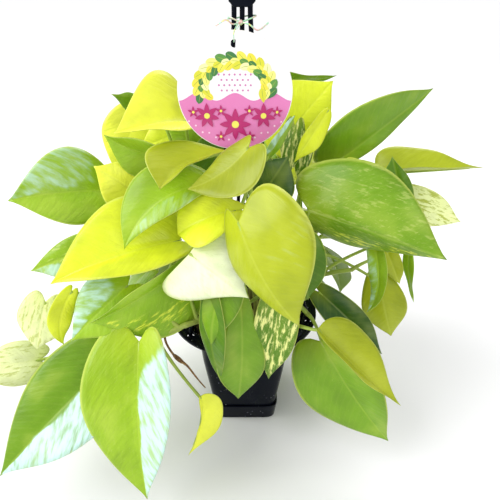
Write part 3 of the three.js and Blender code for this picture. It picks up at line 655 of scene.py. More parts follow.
def round_sweep():
    """Sweeps a round section along edges; each point's girth is its radius."""
    tree = Tree("round_sweep", {"Sides": "NodeSocketInt", "Material": "NodeSocketMaterial"})
    line = tree.add("GeometryNodeMeshToCurve", {"Mesh": tree.given("Geometry")})
    width = tree.add("GeometryNodeInputNamedAttribute", {"Name": "girth"}, data_type="FLOAT")
    circle = tree.add(
        "GeometryNodeCurvePrimitiveCircle", {"Resolution": tree.given("Sides"), "Radius": 1.0})
    swept = tree.add(
        "GeometryNodeCurveToMesh",
        {"Curve": line.outputs[0], "Profile Curve": circle.outputs[0], "Scale": width.outputs[0],
         "Fill Caps": True})
    soft = tree.add("GeometryNodeSetShadeSmooth", {"Geometry": swept.outputs[0]})
    tree.finish(soft.outputs[0])
    return tree


def ribbon_sweep():
    """Sweeps a flat section along edges."""
    tree = Tree("ribbon_sweep", {
        "Width": "NodeSocketFloat", "Thickness": "NodeSocketFloat",
        "Material": "NodeSocketMaterial"})
    line = tree.add("GeometryNodeMeshToCurve", {"Mesh": tree.given("Geometry")})
    section = tree.add(
        "GeometryNodeCurvePrimitiveQuadrilateral",
        {"Width": tree.given("Thickness"), "Height": tree.given("Width")})
    swept = tree.add(
        "GeometryNodeCurveToMesh",
        {"Curve": line.outputs[0], "Profile Curve": section.outputs[0], "Fill Caps": True})
    tree.finish(swept.outputs[0])
    return tree


# Smallest and largest size of a crumb beside its mean, its largest turns, and their seed.
CRUMB_LEAST = (0.2, 0.2, 0.15)
CRUMB_MOST = (0.75, 0.6, 0.45)
CRUMB_TURN = (3.1, 3.1, 6.2)
CRUMB_TURN_SEED = 5


def crumb_scatter():
    """Scatters rough crumbs over the faces of a surface."""
    tree = Tree("crumb_scatter", {
        "Density": "NodeSocketFloat", "Size": "NodeSocketFloat", "Seed": "NodeSocketInt",
        "Material": "NodeSocketMaterial"})
    points = tree.add(
        "GeometryNodeDistributePointsOnFaces",
        {"Mesh": tree.given("Geometry"), "Density": tree.given("Density"),
         "Seed": tree.given("Seed")})
    ball = tree.add(
        "GeometryNodeMeshIcoSphere", {"Radius": tree.given("Size"), "Subdivisions": 1})
    size = tree.add(
        "FunctionNodeRandomValue",
        {"Min": CRUMB_LEAST, "Max": CRUMB_MOST, "Seed": tree.given("Seed")},
        data_type="FLOAT_VECTOR")
    turn = tree.add(
        "FunctionNodeRandomValue",
        {"Min": (0, 0, 0), "Max": CRUMB_TURN, "Seed": CRUMB_TURN_SEED},
        data_type="FLOAT_VECTOR")
    crumbs = tree.add(
        "GeometryNodeInstanceOnPoints",
        {"Points": points.outputs[0], "Instance": ball.outputs[0], "Rotation": turn.outputs[0],
         "Scale": size.outputs[0]})
    tree.finish(crumbs.outputs[0])
    return tree


TREES = {}


def shared_tree(maker):
    """The tree that maker builds, made once and used by every piece that needs it."""
    if maker.__name__ not in TREES:
        TREES[maker.__name__] = maker()
    return TREES[maker.__name__]


def line_object(name, lines):
    """Edges along each line of (point, radius, age), for the sweeps; points are in millimetres."""
    mesh = bpy.data.meshes.new(name)
    points = []
    edges = []
    for line in lines:
        edges += [(len(points) + i, len(points) + i + 1) for i in range(len(line) - 1)]
        points += line
    mesh.from_pydata([Vector(p[0]) * MM for p in points], edges, [])
    for label, values in (
            ("girth", [p[1] * MM for p in points]), ("age", [p[2] for p in points])):
        layer = mesh.attributes.new(label, "FLOAT", "POINT")
        layer.data.foreach_set("value", values)
    obj = bpy.data.objects.new(name, mesh)
    bpy.context.scene.collection.objects.link(obj)
    return obj


def tubes(name, lines, material, sides):
    """Round tubes along the lines."""
    return shared_tree(round_sweep).apply(
        line_object(name, lines), Sides=sides, Material=material)


# ---------------------------------------------------------------- pot, tray and soil
STRAND_ANGLES = (221, 341, 101)
STRAND_HOLE_REACH = 68.5
STRAND_HOLE_RADIUS = 4
DRAIN_RADIUS = 3.5
DRAIN_OFFSET = 17
DRILL_DEPTH = 16
DRILL_RISE = 1.5
TRAY_INSIDE = 2.9
FLANGE_DEPTH = 3.6
FLOOR_DEPTH = 2.4
RIM_SQUARENESS = 2.1
RING_POINTS = 128
SOIL_POINTS = 96
SOIL_RINGS = 15
SOIL_CROWN = 2
CRUMB_POINTS = 48
CRUMB_CROWN = 1.6


def squared_ring(bm, half, exponent, z, count=RING_POINTS):
    """Ring of a rounded square; the exponent is 2 for a circle and grows with squareness."""
    ring = []
    for i in range(count):
        angle = 2 * math.pi * i / count
        c = math.cos(angle)
        s = math.sin(angle)
        reach = (abs(c) ** exponent + abs(s) ** exponent) ** (-1 / exponent)
        ring.append(bm.verts.new((half * reach * c * MM, half * reach * s * MM, z * MM)))
    return ring


def loft(bm, rings):
    """Skin over the rings, closed at both ends."""
    for lower, upper in zip(rings, rings[1:]):
        for i in range(len(lower)):
            j = (i + 1) % len(lower)
            bm.faces.new((lower[i], lower[j], upper[j], upper[i]))
    bm.faces.new(list(reversed(rings[0])))
    bm.faces.new(rings[-1])


def wall_profile(pot):
    """Half width, squareness and height up the outside of the pot, in millimetres."""
    foot = pot.foot_width / MM / 2
    body = pot.body_width / MM / 2
    top = pot.body_top / MM
    flange_inner = pot.rim_width / MM / 2 - pot.flange / MM
    flange_under = pot.rim_top / MM - FLANGE_DEPTH
    return [
        (foot, pot.squareness, TRAY_INSIDE), (foot + 1.8, pot.squareness, pot.tray_height / MM),
        (body - 2.2, 7, top - 16), (body, 5.6, top), (body + 3.5, 3.8, top + 9),
        (body + 9, 2.8, top + 17), (flange_inner + 0.6, 2.2, flange_under)]


def refined(profile, steps=5):
    """More rings between those of a profile, smooth where it turns."""
    return [tuple(p) for p in catmull_rom(profile, steps * (len(profile) - 1))]


def polar(radius, degrees, z):
    return (radius * math.cos(math.radians(degrees)), radius * math.sin(math.radians(degrees)), z)


def build_pot(context):
    pot = settings("pot")
    outer = wall_profile(pot)
    rim = pot.rim_width / MM / 2
    top = pot.rim_top / MM
    under = top - FLANGE_DEPTH
    wall = pot.wall / MM
    # Out under the flange, round its edge, over its groove and in to the mouth.
    flange = ((rim - 1.6, under), (rim - 0.8, under + 0.15), (rim - 0.2, under + 0.6),
              (rim, under + 1.3), (rim, top - 1.1), (rim - 0.25, top - 0.4), (rim - 0.9, top),
              (rim - 3.4, top), (rim - 3.9, top - 0.35), (rim - 4.4, top - 0.35),
              (rim - 4.9, top), (rim - 12.6, top))
    inner = [(outer[0][0] - wall, pot.squareness, TRAY_INSIDE + FLOOR_DEPTH)]
    inner += [(half - wall, exponent, z - 0.6) for half, exponent, z in outer[1:]]
    inner.append((rim - 13.6, 2.2, top - 0.3))

    def shape(bm):
        rings = [squared_ring(bm, *row) for row in refined(outer)]
        rings += [squared_ring(bm, half, RIM_SQUARENESS, z) for half, z in flange]
        rings += [squared_ring(bm, *row) for row in reversed(refined(inner))]
        loft(bm, rings)

    plastic = black_plastic("pot_plastic", pot.specks)
    body = smooth_object("pot_shell", mesh_of("pot_shell", shape), plastic)
    holes = [(polar(STRAND_HOLE_REACH, angle, under), STRAND_HOLE_RADIUS)
             for angle in STRAND_ANGLES]
    holes += [((x, y, TRAY_INSIDE), DRAIN_RADIUS)
              for x in (-DRAIN_OFFSET, DRAIN_OFFSET) for y in (-DRAIN_OFFSET, DRAIN_OFFSET)]

    def drill(bm):
        for place, radius in holes:
            made = bmesh.ops.create_cone(
                bm, segments=32, radius1=radius * MM, radius2=radius * MM,
                depth=DRILL_DEPTH * MM, cap_ends=True)
            middle = Vector(place) + Vector((0, 0, DRILL_RISE))
            bmesh.ops.translate(bm, verts=made["verts"], vec=middle * MM)

    cutter = smooth_object("pot_holes", mesh_of("pot_holes", drill), plastic)
    cut = body.modifiers.new("holes", "BOOLEAN")
    cut.object = cutter
    cut.operation = "DIFFERENCE"
    cut.solver = "EXACT"
    context.view_layer.update()
    body = baked(body)
    bpy.data.objects.remove(cutter)
    sharpen(body, 40)
    hand_over(body, "black_plastic", "pot")


def sharpen(obj, degrees):
    """Smooth shading with hard edges where faces meet at more than this angle."""
    obj.data.polygons.foreach_set("use_smooth", [True] * len(obj.data.polygons))
    obj.data.set_sharp_from_angle(angle=math.radians(degrees))


def build_tray():
    pot = settings("pot")
    top = pot.tray_width / MM / 2
    foot = top - 2.2
    high = pot.tray_height / MM

    # Half width and height: over the foot, up the outside, round the lip and down the inside.
    rows = (
        (foot - 3.5, 0.0), (foot - 1.6, 0.0), (foot - 0.7, 0.25), (foot - 0.1, 0.8),
        (foot + 0.1, 1.6), (top - 0.1, high - 1.3), (top, high - 0.9), (top, high - 0.4),
        (top - 0.25, high - 0.08), (top - 0.6, high), (top - 1.1, high - 0.1),
        (top - 1.3, high - 0.5), (foot - 1.0, 4.2), (foot - 1.6, 3.0), (foot - 2.6, 2.6))

    def shape(bm):
        loft(bm, [squared_ring(bm, half, pot.squareness, z) for half, z in rows])

    plastic = black_plastic("tray_plastic", pot.specks * 1.2)
    tray = smooth_object("drip_tray_shell", mesh_of("drip_tray_shell", shape), plastic)
    sharpen(tray, 35)
    hand_over(tray, "black_plastic", "drip_tray")


def build_soil():
    soil = settings("soil")
    pot = settings("pot")
    profile = [row for row in wall_profile(pot) if row[2] < soil.top / MM]
    inset = pot.wall / MM + 0.9
    surface = soil.top / MM
    edge = pot.body_width / MM / 2 + 6

    def shape(bm):
        rings = [squared_ring(bm, half - inset, exponent, max(z - 0.6, 5.6), SOIL_POINTS)
                 for half, exponent, z in profile]
        for i in range(SOIL_RINGS):
            inward = 1 - i / SOIL_RINGS
            rise = SOIL_CROWN * (1 - inward ** 2)
            rings.append(squared_ring(bm, edge * inward, 2.6, surface + rise, SOIL_POINTS))
        loft(bm, rings)
        for vert in bm.verts:
            if vert.co.z > (surface - 0.5) * MM:
                lump = noise.noise(vert.co * 120) * 1.3 + noise.noise(vert.co * 420) * 0.8
                reach = max(abs(vert.co.x), abs(vert.co.y)) / (edge * MM)
                vert.co.z += (lump - 0.6) * MM * (1 - max(reach - 0.9, 0) * 6)

    mix = compost()
    ground = smooth_object("soil_ground", mesh_of("soil_ground", shape), mix)

    def patch(bm):
        centre = bm.verts.new((0, 0, surface * MM))
        ring = squared_ring(bm, edge - 2.5, 2.4, surface - 0.2, CRUMB_POINTS)
        for i, vert in enumerate(ring):
            bm.faces.new((centre, vert, ring[(i + 1) % len(ring)]))

    crumbs = smooth_object("soil_crumbs", mesh_of("soil_crumbs", patch), mix)
    crumbs = shared_tree(crumb_scatter).apply(
        crumbs, Density=soil.crumbs, Size=soil.crumb_size, Seed=soil.seed, Material=mix)
    for vert in crumbs.data.vertices:
        inward = 1 - math.hypot(vert.co.x, vert.co.y) / (edge * MM)
        vert.co.z += CRUMB_CROWN * MM * max(inward, 0)
    ground = joined("soil_ground", [ground, crumbs])
    hand_over(ground, "potting_soil", "soil")


# ---------------------------------------------------------------- hanger
# Heights here are in millimetres above the table.
STRAND_STARTS = (-6.3, 6.3, 0)
STRAND_STEPS = 72
BLOCK_FOOT = 411
BLOCK_DEPTH = 8.4
BLOCK_BEVEL = 0.9
# The block's outline from the front: across, and up from its foot.
BLOCK_OUTLINE = ((-6.3, 0), (6.3, 0), (10.3, 4), (10.3, 22), (7.3, 25), (-7.3, 25), (-10.3, 22),
                 (-10.3, 4))
HOOK_MIDDLE = 463
# First angle of the hook's bend, its end and the step between, in degrees.
HOOK_BEND = (-60, 191, 25)
HOOK_STEPS = 80
HOOK_SIDES = 20
# An end knob from its top: depth and radius.
KNOB = ((0, 3.0), (0.4, 4.0), (1.2, 4.4), (3.4, 4.3), (5.4, 3.4), (6.6, 2.2), (7, 1.2))


def strand_lines(hanger, angle, start):
    """A strand from the block down to the rim, and the knob that holds it under the rim."""
    rim = settings("pot").rim_top / MM
    x, y, knob_top = polar(STRAND_HOLE_REACH, angle, rim - FLANGE_DEPTH - 0.3)
    points = [
        (start, 0, BLOCK_FOOT + 4), (start, 0, BLOCK_FOOT - 6),
        (start + (x - start) * 0.14, y * 0.2, 318),
        (start + (x - start) * 0.33, y * 0.39, 259), (x * 0.72 + start * 0.28, y * 0.73, 182),
        (0.95 * x, 0.95 * y, rim + 13), (x, y, rim + 3), (x, y, rim - 7.4)]
    radius = hanger.strand_radius / MM
    strand = []
    for i, point in enumerate(catmull_rom(points, STRAND_STEPS)):
        swell = 0.3 * max(0, 1 - i / 5) + 0.25 * max(0, 1 - (STRAND_STEPS - i) / 5)
        strand.append((point, radius * (1 + swell * 0.35), 0))
    return strand, [((x, y, knob_top - depth), girth, 0) for depth, girth in KNOB]


def hook_line(hanger):
    """The hook's rod from the block's top round to its end."""
    radius = hanger.hook_radius / MM
    rod = hanger.hook_rod / MM
    points = [(0, 0, BLOCK_FOOT + 21), (0, 0, BLOCK_FOOT + 31)]
    for angle in range(*HOOK_BEND):
        across, rise, _ = polar(radius, angle, 0)
        points.append((across, 0, HOOK_MIDDLE + rise))
    line = []
    for i, point in enumerate(catmull_rom(points, HOOK_STEPS)):
        end = min(1, (HOOK_STEPS - i) / 2.5) ** 0.5
        line.append((point, rod * (0.45 + 0.55 * end), 0))
    return line


def build_hanger():
    hanger = settings("hanger")
    plastic = black_plastic("hanger_plastic", settings("pot").specks * 0.35)
    lines = []
    for angle, start in zip(STRAND_ANGLES, STRAND_STARTS):
        lines += strand_lines(hanger, angle, start)
    strands = tubes("strands", lines, plastic, hanger.strand_sides)
    hook = tubes("hook", [hook_line(hanger)], plastic, HOOK_SIDES)

    def block(bm):
        front = [bm.verts.new((x * MM, -BLOCK_DEPTH / 2 * MM, (BLOCK_FOOT + z) * MM))
                 for x, z in BLOCK_OUTLINE]
        grown = bmesh.ops.extrude_face_region(bm, geom=[bm.faces.new(front)])
        moved = [g for g in grown["geom"] if isinstance(g, bmesh.types.BMVert)]
        bmesh.ops.translate(bm, verts=moved, vec=(0, BLOCK_DEPTH * MM, 0))
        bmesh.ops.bevel(
            bm, geom=list(bm.edges), offset=BLOCK_BEVEL * MM, segments=3, profile=0.6,
            affect="EDGES")

    grip = smooth_object("block", mesh_of("block", block), plastic)
    sharpen(grip, 50)
    piece = joined("hanger_detail", [strands, hook, grip])
    hand_over(piece, "black_plastic", "hanger")


# ---------------------------------------------------------------- label card and its tie
LABEL_CENTRE = (-6, -16, 350.6)
LABEL_HOLE_RADIUS = 3
LABEL_HOLE_RISE = 36.4
LABEL_BORDER = 0.6
LABEL_SIDES = 96
# How far the print stands off the card, and each shape off the one before it.
PRINT_GAP = 0.03
PRINT_STEP = 0.004
# The wavy top of the pink field: height of its crests, and their distance.
FIELD_CREST = 3
FIELD_PITCH = 30
FIELD_POINTS = 72
# The garland: leaves, radius across and up, height of its middle, first angle and sweep.
GARLAND_LEAVES = 46
GARLAND_REACH = 27
GARLAND_RISE = 19
GARLAND_MIDDLE = 5
GARLAND_START = 205
GARLAND_SWEEP = 230
GARLAND_LEAF = 11
GARLAND_SPREAD = (-2.6, 2.6, 0)
GARLAND_TURN = (34, -34, 0)
GARLAND_COLOURS = (srgb(240, 226, 62), srgb(58, 124, 60), srgb(250, 242, 132),
                   srgb(222, 220, 50), srgb(244, 232, 84), srgb(88, 150, 62),
                   srgb(250, 246, 176))
GARLAND_RIB = srgb(150, 178, 60)
DOT_RADIUS = 0.8
PALE_DOT = srgb(255, 214, 236)
PINK_DOT = srgb(206, 120, 178)
# Pale dots in a row along the lower edge, and pink dots in a lattice under the garland.
ROW_DOTS = 15
ROW_STEP = 5.4
LATTICE_ROWS = 4
LATTICE_DOTS = 7
LATTICE_TOP = 14
LATTICE_STEP = 4.2
LATTICE_DROP = 4
ROSETTE_EYE = srgb(242, 234, 96)
# Rosettes: across, up, size and petals.
ROSETTES = ((0, -25, 11.5, 8), (-23, -18, 9, 7), (23, -18, 9, 7), (-12, -35, 4.2, 5),
            (12, -35, 4.2, 5), (-34, -15, 4.2, 5), (34, -15, 4.2, 5), (-11.5, -14, 4.2, 5),
            (11.5, -14, 4.2, 5))


def disc_outline(x, y, radius, count=14):
    return [(x + radius * math.cos(2 * math.pi * i / count),
             y + radius * math.sin(2 * math.pi * i / count)) for i in range(count)]


def leaf_outline(x, y, length, width, turn, count=12):
    """A leaf-shaped outline round (x, y), turned by degrees."""
    c, s, _ = polar(1, turn, 0)
    points = []
    for i in range(2 * count):
        share = i / count if i < count else (2 * count - i) / count
        side = 1 if i < count else -1
        half = 0.5 * width * math.sin(math.pi * share ** 0.75) ** 0.8 if 0 < share < 1 else 0
        u = (share - 0.5) * length
        points.append((x + u * c - side * half * s, y + u * s + side * half * c))
    return points


def rosette(x, y, size, petals, colour, layer):
    """A plain flower of leaf-shaped petals round a yellow disc."""
    shapes = []
    for i in range(petals):
        turn = 360 * i / petals + 90
        c, s, _ = polar(0.62 * size, turn, 0)
        shapes.append((leaf_outline(x + c, y + s, size, 0.44 * size, turn), colour, layer))
    shapes.append((disc_outline(x, y, 0.26 * size), ROSETTE_EYE, layer + 1))
    return shapes


def pink_field(radius):
    """Outline of the card's lower part, up to a wavy line."""
    low = math.degrees(math.asin(2 * FIELD_CREST / radius))
    outline = [polar(radius, -180 + low + (180 - 2 * low) * i / 48, 0)[:2] for i in range(49)]
    reach = math.sqrt(radius ** 2 - (2 * FIELD_CREST) ** 2)
    for i in range(1, FIELD_POINTS):
        x = reach * (1 - 2 * i / FIELD_POINTS)
        outline.append((x, FIELD_CREST * (math.cos(2 * math.pi * x / FIELD_PITCH) - 1)))
    return outline


def garland():
    """An arch of small leaves, each with a fine rib."""
    shapes = []
    for i in range(GARLAND_LEAVES):
        angle = GARLAND_START - GARLAND_SWEEP * i / (GARLAND_LEAVES - 1)
        spread = GARLAND_SPREAD[i % 3]
        x = (GARLAND_REACH + spread) * math.cos(math.radians(angle))
        y = GARLAND_MIDDLE + (GARLAND_RISE + spread) * math.sin(math.radians(angle))
        turn = angle - 90 + GARLAND_TURN[i % 3]
        length = GARLAND_LEAF + 2 * math.sin(2.1 * i)
        colour = GARLAND_COLOURS[i % len(GARLAND_COLOURS)]
        shapes.append((leaf_outline(x, y, length, length * 0.5, turn), colour, 3))
        shapes.append((leaf_outline(x, y, length * 0.86, 0.4, turn), GARLAND_RIB, 3))
    return shapes


def printed_shapes(label):
    """The card's own generic print: (outline, colour, layer), in millimetres from its centre."""
    shapes = [(pink_field(label.diameter / MM / 2 - LABEL_BORDER), label.pink, 1)]
    for i in range(ROW_DOTS):
        x = -38 + ROW_STEP * i
        y = -11 - 27 * math.sqrt(max(1 - (x / 42) ** 2, 0)) + 2 * (i % 2)
        shapes.append((disc_outline(x, y, DOT_RADIUS, 10), PALE_DOT, 2))
    shapes += garland()
    for row in range(LATTICE_ROWS):
        for i in range(LATTICE_DOTS - row % 2):
            x = (i - 3 + 0.5 * (row % 2)) * LATTICE_STEP
            y = LATTICE_TOP - LATTICE_DROP * row
            shapes.append((disc_outline(x, y, DOT_RADIUS, 8), PINK_DOT, 4))
    for x, y, size, petals in ROSETTES:
        shapes += rosette(x, y, size, petals, label.magenta, 4)
    return sorted(shapes, key=lambda shape: shape[2])


def inked_mesh(name, build):
    """A mesh made by build(bm, point, face). point takes millimetres across, up and back from
    the card's centre, and face takes corners and the colour that is painted on them."""
    bm = bmesh.new()
    ink = bm.loops.layers.float_color.new("ink")
    cx, cy, cz = LABEL_CENTRE

    def point(x, z, y):
        return bm.verts.new(((cx + x) * MM, (cy + y) * MM, (cz + z) * MM))

    def face(corners, colour):
        for loop in bm.faces.new(corners).loops:
            loop[ink] = (*colour, 1)

    build(bm, point, face)
    mesh = bpy.data.meshes.new(name)
    bm.to_mesh(mesh)
    bm.free()
    return mesh


def build_label():
    label = settings("label")
    radius = label.diameter / MM / 2
    half = label.thickness / MM / 2
    # From the front's border round the card's edge to its back: radius, and place through it.
    rows = ((radius - 0.35, -half), (radius, -half + 0.25), (radius, half - 0.25),
            (radius - 0.35, half))

    def card(bm, point, face):
        def circle(reach, y, rise=0):
            turns = [2 * math.pi * i / LABEL_SIDES for i in range(LABEL_SIDES)]
            return [point(reach * math.cos(t), rise + reach * math.sin(t), y) for t in turns]

        rings = [circle(reach, y) for reach, y in rows]
        hole = [circle(LABEL_HOLE_RADIUS, y, LABEL_HOLE_RISE) for y in (-half, half)]
        inner = circle(radius - LABEL_BORDER, -half)
        for a, b in zip(rings, rings[1:]):
            for i in range(LABEL_SIDES):
                j = (i + 1) % LABEL_SIDES
                face((a[i], a[j], b[j], b[i]), label.edge)
        for i in range(LABEL_SIDES):
            j = (i + 1) % LABEL_SIDES
            face((rings[0][j], rings[0][i], inner[i], inner[j]), label.edge)
            face((inner[j], inner[i], hole[0][i], hole[0][j]), label.paper)
            face((rings[3][i], rings[3][j], hole[1][j], hole[1][i]), label.paper)
            face((hole[0][j], hole[0][i], hole[1][i], hole[1][j]), label.paper)

    def prints(bm, point, face):
        for order, (outline, colour, _) in enumerate(printed_shapes(label)):
            away = -half - PRINT_GAP - PRINT_STEP * order
            face([point(x, z, away) for x, z in outline], colour)
        bmesh.ops.recalc_face_normals(bm, faces=bm.faces)
        for side in bm.faces:
            side.normal_update()
            if side.normal.y > 0:
                side.normal_flip()
        bmesh.ops.triangulate(bm, faces=bm.faces)

    stock = printed_card()
    piece = joined("label_print", [
        smooth_object("label_print", inked_mesh("label_print", card), stock, smooth=False),
        smooth_object("label_ink", inked_mesh("label_ink", prints), stock, smooth=False)])
    hand_over(piece, "label_card", "label_card")


KNOT = (-1, -9, 401)
KNOT_RADIUS = 1.9
RIBBON_WIDTH = 1.1
RIBBON_THICKNESS = 0.35


def build_tie():
    foil = ribbon_foil()
    hole_x, card_y, centre_z = LABEL_CENTRE
    hole_z = centre_z + LABEL_HOLE_RISE
    # Round the strands, down through the card's hole and back, and the two loose ends.
    runs = [
        [KNOT, (-9, -6, 404), (-11.2, 0, 403), (-6, 4, 403), (0, 3.6, 404), (6, 3.4, 405),
         (11, 0, 405), (8, -6, 404), KNOT],
        [KNOT, (-3, -14.5, 400.5), (hole_x, card_y - 4, hole_z + 8),
         (hole_x, card_y - 3, hole_z + 2.2), (hole_x, card_y, hole_z + 1.2),
         (hole_x, card_y + 3, hole_z + 2.2), (hole_x + 1, card_y + 4, hole_z + 7), KNOT],
        [KNOT, (-7, -12, 400), (-12, -14, 403), (-20, -13, 399)],
        [KNOT, (5, -12, 400), (12, -13, 396), (20, -12, 401)],
    ]
    lines = [[(p, 1, 0) for p in catmull_rom(run, 14 * (len(run) - 1))] for run in runs]
    ribbons = shared_tree(ribbon_sweep).apply(
        line_object("ribbons", lines), Width=RIBBON_WIDTH * MM, Thickness=RIBBON_THICKNESS * MM,
        Material=foil)

    def ball(bm):
        bmesh.ops.create_icosphere(bm, subdivisions=3, radius=KNOT_RADIUS * MM)
        for vert in bm.verts:
            vert.co *= 1 + 0.16 * noise.noise(vert.co * 900)
        bmesh.ops.translate(bm, verts=bm.verts, vec=Vector(KNOT) * MM)

    piece = joined("tie_ribbon", [ribbons, smooth_object("knot", mesh_of("knot", ball), foil)])
    hand_over(piece, "label_tie", "label_tie")


# ---------------------------------------------------------------- leaves
# How the lobes beside the stalk lie back, where a blade's twist turns, and its wavy margin.
LOBE_PLACE = 0.45
LOBE_FADE = 3
LOBE_SPREAD = 1.6
TWIST_MIDDLE = 0.3
CUP = -0.08
WAVE_HEIGHT = 1.6
WAVES = 1.6
WAVE_SHIFT = 0.25


@dataclass
class Leaf:
    """A blade from base to tip, in millimetres. faces is its turn (0 to the front, 90 to the
    right) and upward lift in degrees; the other values bend its outline and surface."""
    base: tuple
    tip: tuple
    width: float
    faces: tuple
    tone: str
    fold: float = 8  # degrees that each half rises from the rib
    bow: float = 5  # arch towards its face, in millimetres
    sway: float = 0  # sideways arch, in millimetres
    twist: float = 0
    back: float = 0.34  # how far the lobes reach back past the base
    taper: float = 0.7  # below 1 the blade is widest near its base
    lean: float = 0  # how much wider one half is
    phase: float = 0
    at: float = -1  # where on the stem its stalk starts, or in turn with the others
    fleck: float = -1  # share of streaks, or as its tone has them
    shine: float = 0  # sheen of one half, the left one where it is negative
    band: float = 0  # yellow streaks along one half

    def __post_init__(self):
        self.start = np.array(self.base, float)
        run = np.array(self.tip, float) - self.start
        self.length = float(np.linalg.norm(run))
        self.along = run / self.length
        turn, lift = (math.radians(a) for a in self.faces)
        face = np.array([math.sin(turn) * math.cos(lift), -math.cos(turn) * math.cos(lift),
                         math.sin(lift)])
        face = face - self.along * face.dot(self.along)
        self.face = face / np.linalg.norm(face)
        self.side = np.cross(self.face, self.along)

    def swell(self, w):
        """Share of the full width, from base to tip."""
        inside = np.clip(w, 1e-6, 1)
        wide = np.maximum(np.sin(np.pi * inside ** self.taper), 0) ** (0.75 + 0.5 * w)
        return np.where((w <= 0) | (w >= 1), 0, wide)

    def middle(self, w, v):
        """Points of the blade's middle surface, and its signed distances across and along."""
        w, v = np.broadcast_arrays(np.asarray(w, float), np.asarray(v, float))
        swell = self.swell(w)
        half = 0.5 * self.width * swell
        lobe = self.back * np.sin(np.pi * np.clip(w, 0, 1) ** LOBE_PLACE) * (1 - w) ** LOBE_FADE
        across = np.abs(v)
        sign = np.sign(v)
        x = w - lobe * across ** LOBE_SPREAD
        y = half * across * (1 + self.lean * sign)
        arch = (4 * x * (1 - x))[..., None]
        slope = (4 * (1 - 2 * x))[..., None]
        rib = self.start + self.along * (self.length * x)[..., None]
        rib = rib + self.face * (self.bow * arch) + self.side * (self.sway * arch)
        tangent = self.along * self.length + self.face * (self.bow * slope)
        tangent = unit(tangent + self.side * (self.sway * slope))
        s1 = unit(self.side - tangent * (tangent @ self.side)[..., None])
        n1 = np.cross(tangent, s1)
        turn = (math.radians(self.twist) * (x - TWIST_MIDDLE))[..., None]
        s2 = s1 * np.cos(turn) + n1 * np.sin(turn)
        n2 = np.cross(tangent, s2)
        fold = math.radians(self.fold)
        turns = WAVES * w + self.phase + WAVE_SHIFT * sign
        ripple = WAVE_HEIGHT * v * v * np.sin(2 * np.pi * turns) * np.sin(np.pi * w)
        rise = y * math.sin(fold) + CUP * self.width * v * v * swell + ripple
        place = rib + s2 * (y * sign * math.cos(fold))[..., None] + n2 * rise[..., None]
        return place, y * sign, self.length * x

    def normal(self, w, v):
        """The way that the blade's upper side faces."""
        w = np.clip(w, 0.02, 0.98)
        step = 0.01
        along = self.middle(w + step, v)[0] - self.middle(w - step, v)[0]
        across = self.middle(w, np.minimum(v + step, 1))[0]
        across = across - self.middle(w, np.maximum(v - step, -1))[0]
        normal = unit(np.cross(along, across))
        return normal * np.where(normal @ self.face < 0, -1, 1)[..., None]


def unit(vectors):
    return vectors / np.linalg.norm(vectors, axis=-1, keepdims=True)


@dataclass
class Vine:
    """A stem from its hole in the soil, and the leaves that it carries."""
    name: str
    slot: str
    root: tuple
    stem: list
    leaves: list


